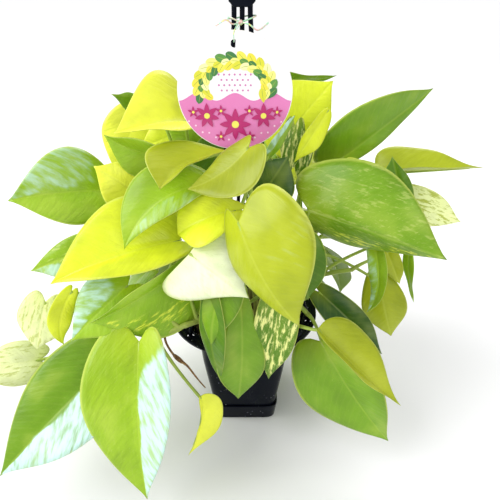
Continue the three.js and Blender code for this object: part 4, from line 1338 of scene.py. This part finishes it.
VINES = [
    Vine("vine_lime_upper_left", "lime_foliage", (-16, 14),
         [(-22, 16, 150), (-35, 15, 190), (-47, 5, 222)], [
        Leaf((-58, 34, 305), (-97, 28, 292), 36, (4, 14), "bright", bow=3),
        Leaf((-50, 16, 320), (-105, -24, 320), 78, (36, 62), "bright", fold=37, bow=3, taper=0.5,
             back=0.12, lean=-0.25),
        Leaf((-94, 2, 254), (-132, -6, 286), 50, (24, 15), "bright", fold=5, bow=4),
        Leaf((-101, 47, 315), (-129, 42, 265), 52, (6, 2), "bright", fold=5, bow=4),
        Leaf((-81, 26, 339), (-114, 16, 343), 24, (10, -39), "green", fold=10, bow=1, lean=0.8,
             back=0.1),
    ]),
    Vine("vine_lime_front", "lime_foliage", (-6, -14),
         [(-6, -16, 150), (-8, -20, 190), (-10, -24, 222)], [
        Leaf((-43.7, -70.7, 234), (5, -84.6, 199.2), 87, (-6, 40), "white", fold=-14, bow=7,
             lean=0.1, back=0.33, taper=0.4, twist=4),
        Leaf((-6, -41, 259), (-56, -47, 239), 54, (5, 46), "sunlit", fold=30, bow=8, sway=-1,
             lean=0.09, taper=1.3),
        Leaf((-13.6, -20.6, 303.8), (-63.8, -63.9, 287.4), 45, (-50, 6), "olive", fold=38, bow=2,
             sway=-10, lean=-0.5, back=0.05, taper=1.5, twist=-15),
        Leaf((19.8, -26.7, 299.9), (42.7, -17.9, 333.7), 12, (42, 16), "green", fold=19, bow=6,
             sway=4, lean=0.19, back=0.24, taper=1.02, twist=5, shine=0.5),
    ]),
    Vine("vine_lime_centre", "lime_foliage", (12, -20),
         [(12, -24, 150), (8, -32, 190), (6, -36, 222)], [
        Leaf((-3, -85, 270), (45, -112, 192), 81, (-37, 13), "olive", fold=-13, bow=12, sway=2,
             lean=0.2, back=0.37, taper=0.64, twist=-8, shine=0.2),
        Leaf((5, -42, 314), (-44, -55, 284), 50, (-6, 65), "moss", fold=11, bow=-4, sway=3,
             lean=0.29, back=0.3, taper=0.69, twist=-14),
    ]),
    Vine("vine_lime_trailing_left", "lime_foliage", (-35, -12),
         [(-44, -18, 146), (-66, -32, 162), (-92, -46, 158), (-116, -54, 142),
          (-134, -58, 122)], [
        Leaf((-56, -36, 227.5), (-161, -76, 207.5), 82, (3, 60), "sunlit", fold=28, bow=8,
             back=0.2, lean=-0.26),
        Leaf((-41, -84, 86), (-54, -103, 26), 34, (53, 0), "bright", fold=42, bow=0, sway=10,
             lean=0.4, back=0.09, taper=0.74, twist=-12),
        Leaf((-148, -67, 195), (-161, -78, 144), 21, (14, -24), "sunlit", fold=6, bow=6, sway=-7,
             lean=-0.03, back=0.17, taper=0.81, twist=-22),
        Leaf((-178, -58, 177), (-190, -72, 133), 42, (9, 15), "pale", fold=5),
        Leaf((-196, -62, 111), (-252, -80, 115), 42, (21, 39), "pale", fold=5),
    ]),
    Vine("vine_lime_low_right", "lime_foliage", (22, -34),
         [(26, -48, 146), (36, -62, 156), (44, -70, 158)], [
        Leaf((64, -87, 169), (137, -115, 107), 49, (66, 40), "olive", fold=37, bow=-1, sway=-3,
             lean=0.36, back=0.05, taper=0.63, twist=-5),
    ]),
    Vine("vine_lime_right", "lime_foliage", (20, 4),
         [(28, 8, 150), (48, 10, 185), (72, 8, 215)], [
        Leaf((31, 34, 288), (79, 28, 352), 66, (-23, 12), "sunlit", bow=4, taper=0.95, lean=0.2,
             back=0.15),
        Leaf((73, 6, 332), (45, 0, 287), 19, (-8, -28), "sunlit", fold=11, bow=8, sway=-3,
             lean=0.22, back=0.08, taper=0.85, twist=3),
        Leaf((92, -9.4, 281.3), (133.4, -16.5, 274.2), 35, (-5, 3), "lime", fold=9, bow=12,
             sway=-5, lean=0.12, back=0.29, taper=0.74, twist=13, at=0.97),
        Leaf((127, 25, 268), (223, 15, 277), 60, (-58, 75), "olive", fold=42, bow=4, sway=-7,
             lean=0.01, back=0.09, taper=0.5, twist=-9),
        Leaf((137, 0, 162), (156, -12, 99), 46, (-9, 8), "olive", fold=-5, taper=0.95, at=0.7),
        Leaf((141, 0, 197), (158, -4, 160), 20, (-5, 4), "olive", fold=15, bow=4),
        Leaf((46, 16, 316), (40, 4, 272), 22, (-5, 16), "marble", fold=15, bow=4, at=0.8),
        Leaf((56, 14, 304), (50, 4, 268), 18, (-7, 17), "marble", fold=10, bow=4, at=0.88),
    ]),
    Vine("vine_green_left", "green_foliage", (-34, 4),
         [(-42, 2, 148), (-64, -2, 180), (-86, -6, 202)], [
        Leaf((-124, 12, 255), (-203, -30, 263), 76, (33, 38), "fresh", fold=18, bow=6, sway=-1,
             lean=-0.11, back=0.08, taper=0.8, shine=-0.38),
        Leaf((-128, -30, 223), (-194, -40, 198), 38, (0, 22), "fresh", fold=10, bow=4, lean=0.2,
             fleck=0.4, shine=0.4),
        Leaf((-98, 24, 206), (-166, 42, 162), 56, (-70, 45), "green", fold=10, bow=8),
        Leaf((-98, 8, 168), (-142, 16, 92), 52, (-82, 20), "green", fold=10, bow=8),
    ]),
    Vine("vine_green_upper_left", "green_foliage", (-14, -1),
         [(-16, 1, 150), (-22, 0, 190), (-28, -4, 225)], [
        Leaf((-32, -31, 279), (-99, -62, 233), 51, (-20, 47), "fresh", fold=18, bow=9, sway=-9,
             lean=-0.29, back=0.15, taper=0.79, twist=-14, shine=0.3),
        Leaf((-19, 10, 290), (-53, 8, 288), 38, (4, 17), "deep", bow=3),
        Leaf((-36, 28, 290), (-72, 26, 318), 30, (13, 12), "fresh", fold=10, bow=4),
        Leaf((-58.4, 6.8, 291.1), (-119.9, -3.2, 313.2), 59, (-16, -26), "fresh", fold=30, bow=6,
             sway=1, lean=-0.03, back=0.36, taper=0.82, twist=8),
    ]),
    Vine("vine_green_trailing_left", "green_foliage", (-22, -34),
         [(-26, -44, 149), (-44, -66, 160), (-68, -76, 156), (-92, -80, 142)], [
        Leaf((-51, -44, 209), (-128, -93, 180), 68, (35, -7), "fresh", fold=32, bow=6, lean=0.5,
             fleck=0.2, band=0.7),
        Leaf((-101, -60, 196), (-147, -92, 160), 54, (5, 38), "fresh", fold=10, shine=-0.5),
        Leaf((-88, -95, 162), (-84, -152, 32), 92, (-20, 22), "fresh", fold=27, bow=8, lean=-0.1,
             back=0.22, shine=1),
        Leaf((-116, -80, 131), (-217, -138, 44), 88, (-14, 43), "green", fold=20, bow=6, shine=1),
    ]),
    Vine("vine_green_front", "green_foliage", (0, -36),
         [(0, -44, 146), (0, -50, 168), (2, -50, 186)], [
        Leaf((-2, -72, 193), (-5, -88, 87), 44, (11, 12), "green", fold=7, bow=8, sway=1,
             lean=-0.02, back=0.3, taper=1.43),
        Leaf((33, -70, 198), (23, -84, 108), 40, (-7, 10), "marble", fold=12, taper=0.8),
        Leaf((-28.6, -77.2, 198.2), (-19.6, -91, 112.9), 27, (-21, 2), "deep", fold=20, sway=-2,
             lean=0.32, back=0.24, taper=0.81, twist=3),
        Leaf((-14.3, -68.1, 211.2), (-27.1, -92.2, 155.3), 36, (-11, 32), "green", fold=-4, bow=7,
             sway=-2, lean=0.14, back=0.38, taper=0.69, twist=-4),
    ]),
    Vine("vine_green_low_right", "green_foliage", (35, -14),
         [(42, -24, 146), (52, -34, 156), (62, -42, 150)], [
        Leaf((53, -36, 225), (60, -46, 170), 40, (-4, 10), "deep", fold=5, bow=4),
        Leaf((71, -35, 172), (134, -56, 113), 36, (8, 33), "dark", fold=21, bow=7, lean=-0.08,
             back=0.22, taper=0.82, shine=0.15),
        Leaf((72, -64, 136), (139, -100, 43), 88, (-25, 3), "green", fold=22, bow=6, lean=-0.08,
             back=0.18),
    ]),
    Vine("vine_green_right", "green_foliage", (34, 2),
         [(42, 2, 150), (56, -2, 185), (66, -6, 218)], [
        Leaf((57, -30, 254), (171, -66, 225), 92, (-19, -6), "green", fold=-26, bow=8, sway=6,
             lean=0.1, fleck=0.35, band=-0.9),
        Leaf((87.7, 9.7, 286.7), (161, 8.8, 349.5), 46, (-4, -8), "green", fold=18, bow=10,
             sway=4, lean=0.5, back=0.37, taper=0.8, twist=21),
        Leaf((148.9, -6.1, 243.8), (130, -6.4, 295.1), 35, (-11, 3), "deep", fold=17, bow=4,
             lean=0.33, back=0.33, taper=0.82, twist=3),
        Leaf((147, 10, 249), (208, 2, 227), 36, (-1, 17), "pale", fold=10, bow=6, fleck=0.9),
    ]),
    Vine("vine_green_trailing_right", "green_foliage", (32, 18),
         [(42, 12, 142), (64, 8, 158), (90, 2, 170), (110, -2, 176)], [
        Leaf((122, -18, 214), (122, -26, 141), 20, (-46, 4), "fresh", fold=20, bow=6, sway=13,
             shine=-0.4),
        Leaf((164, 5, 195), (178, 0, 134), 14, (-63, -9), "fresh", fold=10, bow=3),
    ]),
    Vine("vine_green_centre", "green_foliage", (6, 16),
         [(8, 16, 150), (12, 14, 190), (16, 12, 225)], [
        Leaf((17.1, -16.7, 262.7), (39.2, -8.7, 295.9), 46, (-6, 17), "dark", fold=10, bow=4),
        Leaf((16.1, -13.7, 279.8), (-2.1, -9.7, 305.9), 32, (5, 12), "dark", fold=5, bow=3),
    ]),
]

BACK_ROOTS = ((22, 33), (8, 36), (-6, 36), (-20, 33), (-33, 24))
BACK_FIRST_ANGLE = 30
BACK_STEP = 26.5
BACK_SEED = 7
HIGH_LEAF_VINE = 2
# From the top: base radius and height, tip radius and height, width, upward lift, place on stem.
TIERS = (
    (60, 272, 114, 290, 54, 66, 0.98),
    (74, 258, 162, 228, 51, 62, 0.9),
    (98, 212, 172, 148, 61, 36, 0.8),
    (104, 166, 150, 82, 58, 22, 0.7),
    (94, 128, 120, 44, 50, 12, 0.6),
)
# How much lower each tier hangs on every second vine, and the tiers' tones in turn.
DROOP = (18, 10, 10, 9, 0)
TIER_SHIFT = 7
GREEN_TONES = ("green", "deep", "fresh", "deep", "green")
LIME_TONES = ("lime", "sunlit", "olive", "lime", "olive")


class Draw:
    """Seeded numbers for the vines at the back."""
    FACTOR = 16807
    MODULUS = 2147483647

    def __init__(self, seed):
        self.seed = seed

    def between(self, low, high):
        self.seed = (self.seed * self.FACTOR) % self.MODULUS
        return low + (high - low) * self.seed / self.MODULUS


def back_vines():
    """The vines behind, which the photo hides: tiers of leaves laid by a seeded rule."""
    draw = Draw(BACK_SEED).between
    vines = []
    for j, root in enumerate(BACK_ROOTS):
        centre = BACK_FIRST_ANGLE + BACK_STEP * j
        green = j % 2 == 0
        tones = GREEN_TONES if green else LIME_TONES
        leaves = []
        for i, (r0, z0, r1, z1, width, lift, at) in enumerate(TIERS):
            angle = centre + (-TIER_SHIFT if i % 2 == 0 else TIER_SHIFT) + draw(-3, 3)
            rise = draw(-3, 3) - (0 if green else DROOP[i])
            base = polar(r0 + draw(-3, 3), angle, z0 + rise)
            reach = r1 + draw(-6, 6)
            tip = polar(reach, angle + draw(-3, 3), z1 + rise)
            wide = width * draw(0.9, 1.05)
            turn = angle + 90 + draw(-12, 12)
            faces = (turn, lift + draw(-6, 6))
            leaves.append(Leaf(base, tip, wide, faces, tones[i], fold=12, bow=9, back=0.22,
                               phase=draw(0, 1), at=at))
        if j % 4 == 0:
            leaves = leaves[1:]
        if j == HIGH_LEAF_VINE:
            leaves.append(Leaf((23, 60, 349), (84, 42, 354), 26, (-11, -51), "green", fold=5,
                               bow=4, at=0.94))
        stem = [(1.15 * root[0], 1.15 * root[1], 140), polar(58, centre, 174),
                polar(64, centre, 202)]
        slot = "green_foliage" if green else "lime_foliage"
        vines.append(Vine(f"vine_back_{j + 1}", slot, root, stem, leaves))
    return vines


# The tone that each tone leans to, and the share of streaks of those that have more than a few.
NEIGHBOUR = {
    "bright": "sunlit", "sunlit": "lime", "lime": "olive", "olive": "lime", "moss": "olive",
    "pale": "white", "white": "pale", "fresh": "lime", "green": "fresh", "deep": "green",
    "dark": "deep"}
FLECK_SHARE = {
    "marble": 0.95, "pale": 0.6, "white": 0.3, "fresh": 0.2, "green": 0.14, "deep": 0.1}
FEW_FLECKS = 0.04
# A blade's mesh and paint; lengths are in millimetres.
ROW_CROWDING = 1.45
GROOVE_WIDTH = 2.2
GROOVE_DEPTH = 0.16
MARGIN_THINNING = 0.7
MARGIN_SHADE = 0.1
YOUNG_SHARE = 0.3
BAND_MIDDLE = 0.6
BAND_WIDTH = 0.26
BLADE_PAINT = {
    "tone": ("FLOAT_COLOR", "color"), "fleck": ("FLOAT_COLOR", "color"),
    "shine": ("FLOAT", "value"), "band": ("FLOAT", "value"), "lay": ("FLOAT_VECTOR", "vector"),
    "under": ("FLOAT", "value"), "leaf_seed": ("FLOAT", "value")}


def blended(first, second, share):
    return tuple(a + (b - a) * share for a, b in zip(first, second))


def leaf_colours(foliage, leaf, number):
    """(tone, fleck colour, fleck share) of a blade, a little different from leaf to leaf."""
    named = "deep" if leaf.tone == "marble" else leaf.tone
    share = leaf.fleck if leaf.fleck >= 0 else FLECK_SHARE.get(leaf.tone, FEW_FLECKS)
    wander = noise.noise(Vector((number * 3.7, 1.3, 0)))
    tone = blended(getattr(foliage, named), getattr(foliage, NEIGHBOUR[named]),
                   0.10 + 0.16 * wander)
    return tone, foliage.olive if named in ("pale", "white") else foliage.cream, share


def blade_faces(rows, columns):
    """Corners of the faces of one blade: its two sides and its margin, pointed at both ends."""
    count = (rows + 1) * (columns + 1)

    def corner(layer, i, j):
        if i == 0 or i == rows:
            j = 0
        return layer * count + i * (columns + 1) + j

    faces = []
    for i in range(rows):
        for j in range(columns):
            for layer in (0, 1):
                ring = [corner(layer, i, j), corner(layer, i, j + 1), corner(layer, i + 1, j + 1),
                        corner(layer, i + 1, j)]
                ring = list(dict.fromkeys(ring))
                faces.append(ring[::-1] if layer == 0 else ring)
        for j, flip in ((0, False), (columns, True)):
            ring = [corner(0, i, j), corner(0, i + 1, j), corner(1, i + 1, j), corner(1, i, j)]
            faces.append(ring if flip else ring[::-1])
    return faces


def blade_paint(foliage, leaf, number, shift, w, v, lay):
    """What is painted on each point of a blade's side: its tone is darker towards the margin
    and yellower near the base, and sheen and band each lie on one half."""
    tone, fleck, share = leaf_colours(foliage, leaf, number)
    young = np.clip(1 - w * 5, 0, 1)[..., None] * YOUNG_SHARE
    paint = np.array(tone) * (1 - MARGIN_SHADE * np.abs(v)[..., None] ** 3)
    paint = paint * (1 - young) + np.array(foliage.lime) * young
    # Painted reflection: shine marks the half of the blade on which the sheen is painted.
    shine = np.clip((v * np.sign(leaf.shine) + 0.05 * np.sin(w * 17 + shift)) * 7, 0, 1)
    band = np.exp(-((v * np.sign(leaf.band) - BAND_MIDDLE) / BAND_WIDTH) ** 2)
    return {
        "tone": np.concatenate([paint, np.ones((*w.shape, 1))], axis=-1),
        "fleck": np.broadcast_to((*fleck, share), (*w.shape, 4)),
        "shine": shine * np.clip((w - 0.1) * 8, 0, 1) * abs(leaf.shine),
        "band": band * abs(leaf.band) * np.clip((w - 0.08) * 5, 0, 1),
        "lay": lay, "leaf_seed": np.full(w.shape, float(number))}


def blade_mesh(leaves, foliage, first_number):
    """All the blades of a vine: thin solids with a grooved rib, a fine margin and their paint."""
    rows = foliage.rows
    columns = foliage.columns
    w, v = np.meshgrid((np.arange(rows + 1) / rows) ** ROW_CROWDING,
                       np.linspace(-1, 1, columns + 1), indexing="ij")
    one_blade = blade_faces(rows, columns)
    points = []
    faces = []
    painted = {label: [] for label in BLADE_PAINT}
    for k, leaf in enumerate(leaves):
        place, across, along = leaf.middle(w, v)
        normal = leaf.normal(w, np.where((w <= 0) | (w >= 1), 0, v))
        groove = np.exp(-(across / GROOVE_WIDTH) ** 2) * np.clip(1.15 - w, 0, 1) * GROOVE_DEPTH
        half = foliage.blade / MM / 2 * (1 - MARGIN_THINNING * np.abs(v) ** 10)
        upper = place + normal * (half - groove)[..., None]
        lower = place - normal * (half + groove * 0.8)[..., None]
        first = len(points)
        points += [*upper.reshape(-1, 3), *lower.reshape(-1, 3)]
        faces += [tuple(first + corner for corner in ring) for ring in one_blade]
        lay = np.stack([across, along, v], axis=-1)
        paint = blade_paint(foliage, leaf, first_number + k, k, w, v, lay)
        for label, values in paint.items():
            painted[label] += [values.ravel()] * 2
        painted["under"] += [np.zeros(w.size), np.ones(w.size)]

    mesh = bpy.data.meshes.new("blades")
    mesh.from_pydata([tuple(p * MM) for p in points], [], faces)
    for label, (kind, key) in BLADE_PAINT.items():
        layer = mesh.attributes.new(label, kind, "POINT")
        layer.data.foreach_set(key, np.concatenate(painted[label]).astype(np.float32))
    bm = bmesh.new()
    bm.from_mesh(mesh)
    loose = [vert for vert in bm.verts if not vert.link_faces]
    bmesh.ops.delete(bm, geom=loose, context="VERTS")
    bmesh.ops.recalc_face_normals(bm, faces=bm.faces)
    bm.to_mesh(mesh)
    bm.free()
    return mesh


STEM_FOOT = 98.3
STEM_RADIUS = 3.0
STEM_STEPS = 200
STEM_KNUCKLES = 6
STALK_RADIUS = 1.6
STALK_SIDES = 10
RIB_RADIUS = 1.15
RIB_POINTS = 16
RIB_ENDS = (0.06, 0.86)


def stem_line(path):
    """The stem with its knuckles, thinner and younger towards its tip."""
    stem = []
    for i in range(0, STEM_STEPS + 1, 2):
        share = i / STEM_STEPS
        knuckle = 0.16 * max(0, math.cos(share * 2 * math.pi * STEM_KNUCKLES)) ** 8
        radius = STEM_RADIUS * (1 - 0.25 * share) * (1 + knuckle)
        if i >= STEM_STEPS - 4:
            radius *= 0.86 if i < STEM_STEPS else 0.5
        stem.append((path[i], radius, 1 - share))
    return stem


def stalk_line(leaf, root, tangent):
    """A leaf's stalk from its place on the stem, running on under the blade as the rib."""
    base = Vector(leaf.base)
    reach = (base - root).length
    heading = (base - root).normalized()
    rise = (heading * 0.6 + tangent * 0.25 + Vector((0, 0, 0.45))).normalized()
    arrive = (heading * 0.6 + Vector(leaf.face) * 0.4).normalized()
    steps = max(8, round(reach / 5))
    run = bezier(root, root + rise * (0.35 * reach), base - arrive * (0.3 * reach),
                 base + Vector(leaf.along) * 1.2, steps)
    stalk = []
    for n, point in enumerate(run):
        done = n / steps
        sheath = 0.35 * max(0, 1 - done * 5)
        joint = 0.12 * max(0, 1 - abs(done - 0.95) * 16)
        radius = STALK_RADIUS * (1.12 - 0.22 * done) * (1 + sheath + joint)
        stalk.append((point, radius, 0.35 * max(0, 1 - done * 4)))
    ribs = np.linspace(*RIB_ENDS, RIB_POINTS)
    places = leaf.middle(ribs, np.zeros(RIB_POINTS))[0]
    normals = leaf.normal(ribs, np.zeros(RIB_POINTS))
    for n, (place, normal) in enumerate(zip(places, normals)):
        radius = RIB_RADIUS * (1 - n / RIB_POINTS) ** 0.8 + 0.15
        stalk.append((Vector(place - normal * (0.35 + radius * 0.55)), radius, 0))
    return stalk


def stalk_lines(vine):
    """The stem and the leaf stalks of a vine."""
    x, y = vine.root
    path = catmull_rom([(x, y, STEM_FOOT), (x, y, 110), (x, y, 122), *vine.stem], STEM_STEPS)
    lines = [stem_line(path)]
    for i, leaf in enumerate(vine.leaves):
        share = leaf.at if leaf.at > 0 else 0.45 + 0.53 * (i + 1) / len(vine.leaves)
        k = min(round(share * STEM_STEPS), STEM_STEPS - 1)
        lines.append(stalk_line(leaf, path[k], (path[k + 1] - path[max(k - 1, 0)]).normalized()))
    return lines


def build_vines():
    foliage = settings("foliage")
    wax = leaf_wax()
    skin = stalk_skin()
    number = 0
    for vine in VINES + back_vines():
        mesh = blade_mesh(vine.leaves, foliage, number)
        number += len(vine.leaves)
        blades = smooth_object(vine.name + "_blades", mesh, wax)
        hand_over(blades, vine.slot, vine.name)
        stalks = tubes(vine.name + "_stalks", stalk_lines(vine), skin, STALK_SIDES)
        hand_over(stalks, vine.slot, vine.name)


# The dry root's way out of the pot and over its rim, and the dry scale that sits on it.
DRY_ROOT_FOOT = (-36, -30)
DRY_ROOT_PATH = ((-48, -32, 134), (-66, -46, 146), (-73, -63, 141), (-65, -71, 126),
                 (-54, -74, 117), (-44, -75, 100), (-37, -75, 88))
DRY_ROOT_STEPS = 110
DRY_ROOT_RADIUS = 1.05
SCALE_PATH = ((-65, -71, 126), (-60, -72.6, 121.5), (-54, -74, 116.5))
SCALE_STEPS = 16
SCALE_END = 13
SCALE_RADIUS = 1.1


def build_dry_root():
    x, y = DRY_ROOT_FOOT
    path = catmull_rom([(x, y, STEM_FOOT), (x, y, 120), *DRY_ROOT_PATH], DRY_ROOT_STEPS)
    line = []
    for i, point in enumerate(path):
        wobble = 1 + 0.18 * noise.noise(point * 0.35)
        taper = 1 - 1.76 * max(0, i / DRY_ROOT_STEPS - 0.75)
        line.append((point, DRY_ROOT_RADIUS * wobble * taper, 1))
    cover = []
    for i, point in enumerate(catmull_rom(SCALE_PATH, SCALE_STEPS)):
        bulge = math.sin(math.pi * i / SCALE_END) ** 0.7 if i < SCALE_END else 0
        cover.append((point, SCALE_RADIUS * (1 + bulge), 1))
    root = tubes("dry_root_bark", [line, cover], dry_bark(), STALK_SIDES)
    hand_over(root, "dry_root", "dry_root")


# ---------------------------------------------------------------- stage
FLOOR_RADIUS = 30
LIGHT_AIM = (0, 0, 0.2)
WINDOW_PLACE = (-1.5, -0.5, 1.4)
WINDOW_SPREAD = 50
BACK_PLACE = (0.5, 1.2, 1.7)
FRONT_PLACE = (0.9, -1.5, 1.4)
CAMERA_PLACE = (0.006, -0.411, 0.430)
SENSOR_WIDTH = 36


def build_stage(context):
    stage = settings("stage")
    scene = context.scene
    paint = Finish("pale_floor").set(
        Base_Color=stage.floor, Roughness=0.7, Specular_IOR_Level=0.2)

    def ground(bm):
        bmesh.ops.create_circle(bm, cap_ends=True, segments=96, radius=FLOOR_RADIUS)

    floor = smooth_object("floor", mesh_of("floor", ground), paint, smooth=False)

    world = bpy.data.worlds.new("studio")
    world.use_nodes = True
    sky = world.node_tree.nodes["Background"].inputs
    sky["Color"].default_value = (1, 1, 1, 1)
    sky["Strength"].default_value = stage.sky
    scene.world = world

    def light(name, kind, place, energy, **shape):
        lamp = bpy.data.lights.new(name, kind)
        lamp.energy = energy
        for key, value in shape.items():
            setattr(lamp, key, value)
        obj = bpy.data.objects.new(name, lamp)
        obj.location = place
        aim = Vector(LIGHT_AIM) - Vector(place)
        obj.rotation_euler = aim.to_track_quat("-Z", "Y").to_euler()
        scene.collection.objects.link(obj)

    light("window", "SUN", WINDOW_PLACE, stage.window, angle=math.radians(WINDOW_SPREAD))
    light("back", "AREA", BACK_PLACE, stage.back_power, shape="DISK", size=1.2)
    light("front", "AREA", FRONT_PLACE, stage.front_power, shape="DISK", size=1.4)

    camera_data = bpy.data.cameras.new("camera")
    camera_data.lens = stage.focal_length
    camera_data.sensor_width = SENSOR_WIDTH
    camera_data.clip_start = 0.02
    camera_data.clip_end = 100
    camera = bpy.data.objects.new("camera", camera_data)
    camera.location = CAMERA_PLACE
    camera.rotation_euler = (math.radians(90) - stage.camera_pitch, 0, 0)
    scene.collection.objects.link(camera)
    scene.camera = camera
    scene.view_settings.view_transform = "Standard"


# ---------------------------------------------------------------- operators and panel
class POTHOS_OT_pot(bpy.types.Operator):
    """Build the square black pot with its round flange, strand holes and drain holes"""
    bl_idname = "pothos.pot"
    bl_label = "Pot"

    def execute(self, context):
        build_pot(context)
        return {"FINISHED"}


class POTHOS_OT_tray(bpy.types.Operator):
    """Build the drip tray that the pot stands in"""
    bl_idname = "pothos.tray"
    bl_label = "Drip tray"

    def execute(self, context):
        build_tray()
        return {"FINISHED"}


class POTHOS_OT_soil(bpy.types.Operator):
    """Build the compost and scatter its crumbs"""
    bl_idname = "pothos.soil"
    bl_label = "Soil"

    def execute(self, context):
        build_soil()
        return {"FINISHED"}


class POTHOS_OT_hanger(bpy.types.Operator):
    """Build the three strands with their knobs, block and hook"""
    bl_idname = "pothos.hanger"
    bl_label = "Hanger"

    def execute(self, context):
        build_hanger()
        return {"FINISHED"}


class POTHOS_OT_label(bpy.types.Operator):
    """Build the round card with its generic printed pattern"""
    bl_idname = "pothos.label"
    bl_label = "Label card"

    def execute(self, context):
        build_label()
        return {"FINISHED"}


class POTHOS_OT_tie(bpy.types.Operator):
    """Build the ribbon that ties the card to the strands"""
    bl_idname = "pothos.tie"
    bl_label = "Label tie"

    def execute(self, context):
        build_tie()
        return {"FINISHED"}


class POTHOS_OT_vines(bpy.types.Operator):
    """Build every vine: stem, stalks and blades"""
    bl_idname = "pothos.vines"
    bl_label = "Vines"

    def execute(self, context):
        build_vines()
        return {"FINISHED"}


class POTHOS_OT_dry_root(bpy.types.Operator):
    """Build the dry aerial root that hangs over the rim"""
    bl_idname = "pothos.dry_root"
    bl_label = "Dry root"

    def execute(self, context):
        build_dry_root()
        return {"FINISHED"}


class POTHOS_OT_stage(bpy.types.Operator):
    """Build the floor, lights and camera"""
    bl_idname = "pothos.stage"
    bl_label = "Stage"

    def execute(self, context):
        build_stage(context)
        return {"FINISHED"}


OPERATORS = (
    POTHOS_OT_pot, POTHOS_OT_tray, POTHOS_OT_soil, POTHOS_OT_hanger, POTHOS_OT_label,
    POTHOS_OT_tie, POTHOS_OT_vines, POTHOS_OT_dry_root, POTHOS_OT_stage,
)


class POTHOS_PT_builder(bpy.types.Panel):
    """Lists the plant's pieces and their settings"""
    bl_idname = "POTHOS_PT_builder"
    bl_label = "Pothos"
    bl_space_type = "VIEW_3D"
    bl_region_type = "UI"
    bl_category = "Pothos"

    def draw(self, context):
        for operator in OPERATORS:
            self.layout.operator(operator.bl_idname)
        for name, group in SETTINGS.items():
            box = self.layout.box()
            box.label(text=name.removeprefix("pothos_").capitalize())
            for key in group.__annotations__:
                box.prop(getattr(context.scene, name), key)


def register():
    for name, group in SETTINGS.items():
        bpy.utils.register_class(group)
        setattr(bpy.types.Scene, name, bpy.props.PointerProperty(type=group))
    for cls in (*OPERATORS, POTHOS_PT_builder):
        bpy.utils.register_class(cls)


def unregister():
    for cls in reversed((*OPERATORS, POTHOS_PT_builder)):
        bpy.utils.unregister_class(cls)
    for name, group in reversed(list(SETTINGS.items())):
        delattr(bpy.types.Scene, name)
        bpy.utils.unregister_class(group)


def main():
    register()
    for operator in OPERATORS:
        group, piece = operator.bl_idname.split(".")
        getattr(getattr(bpy.ops, group), piece)()


if __name__ == "__main__":
    main()
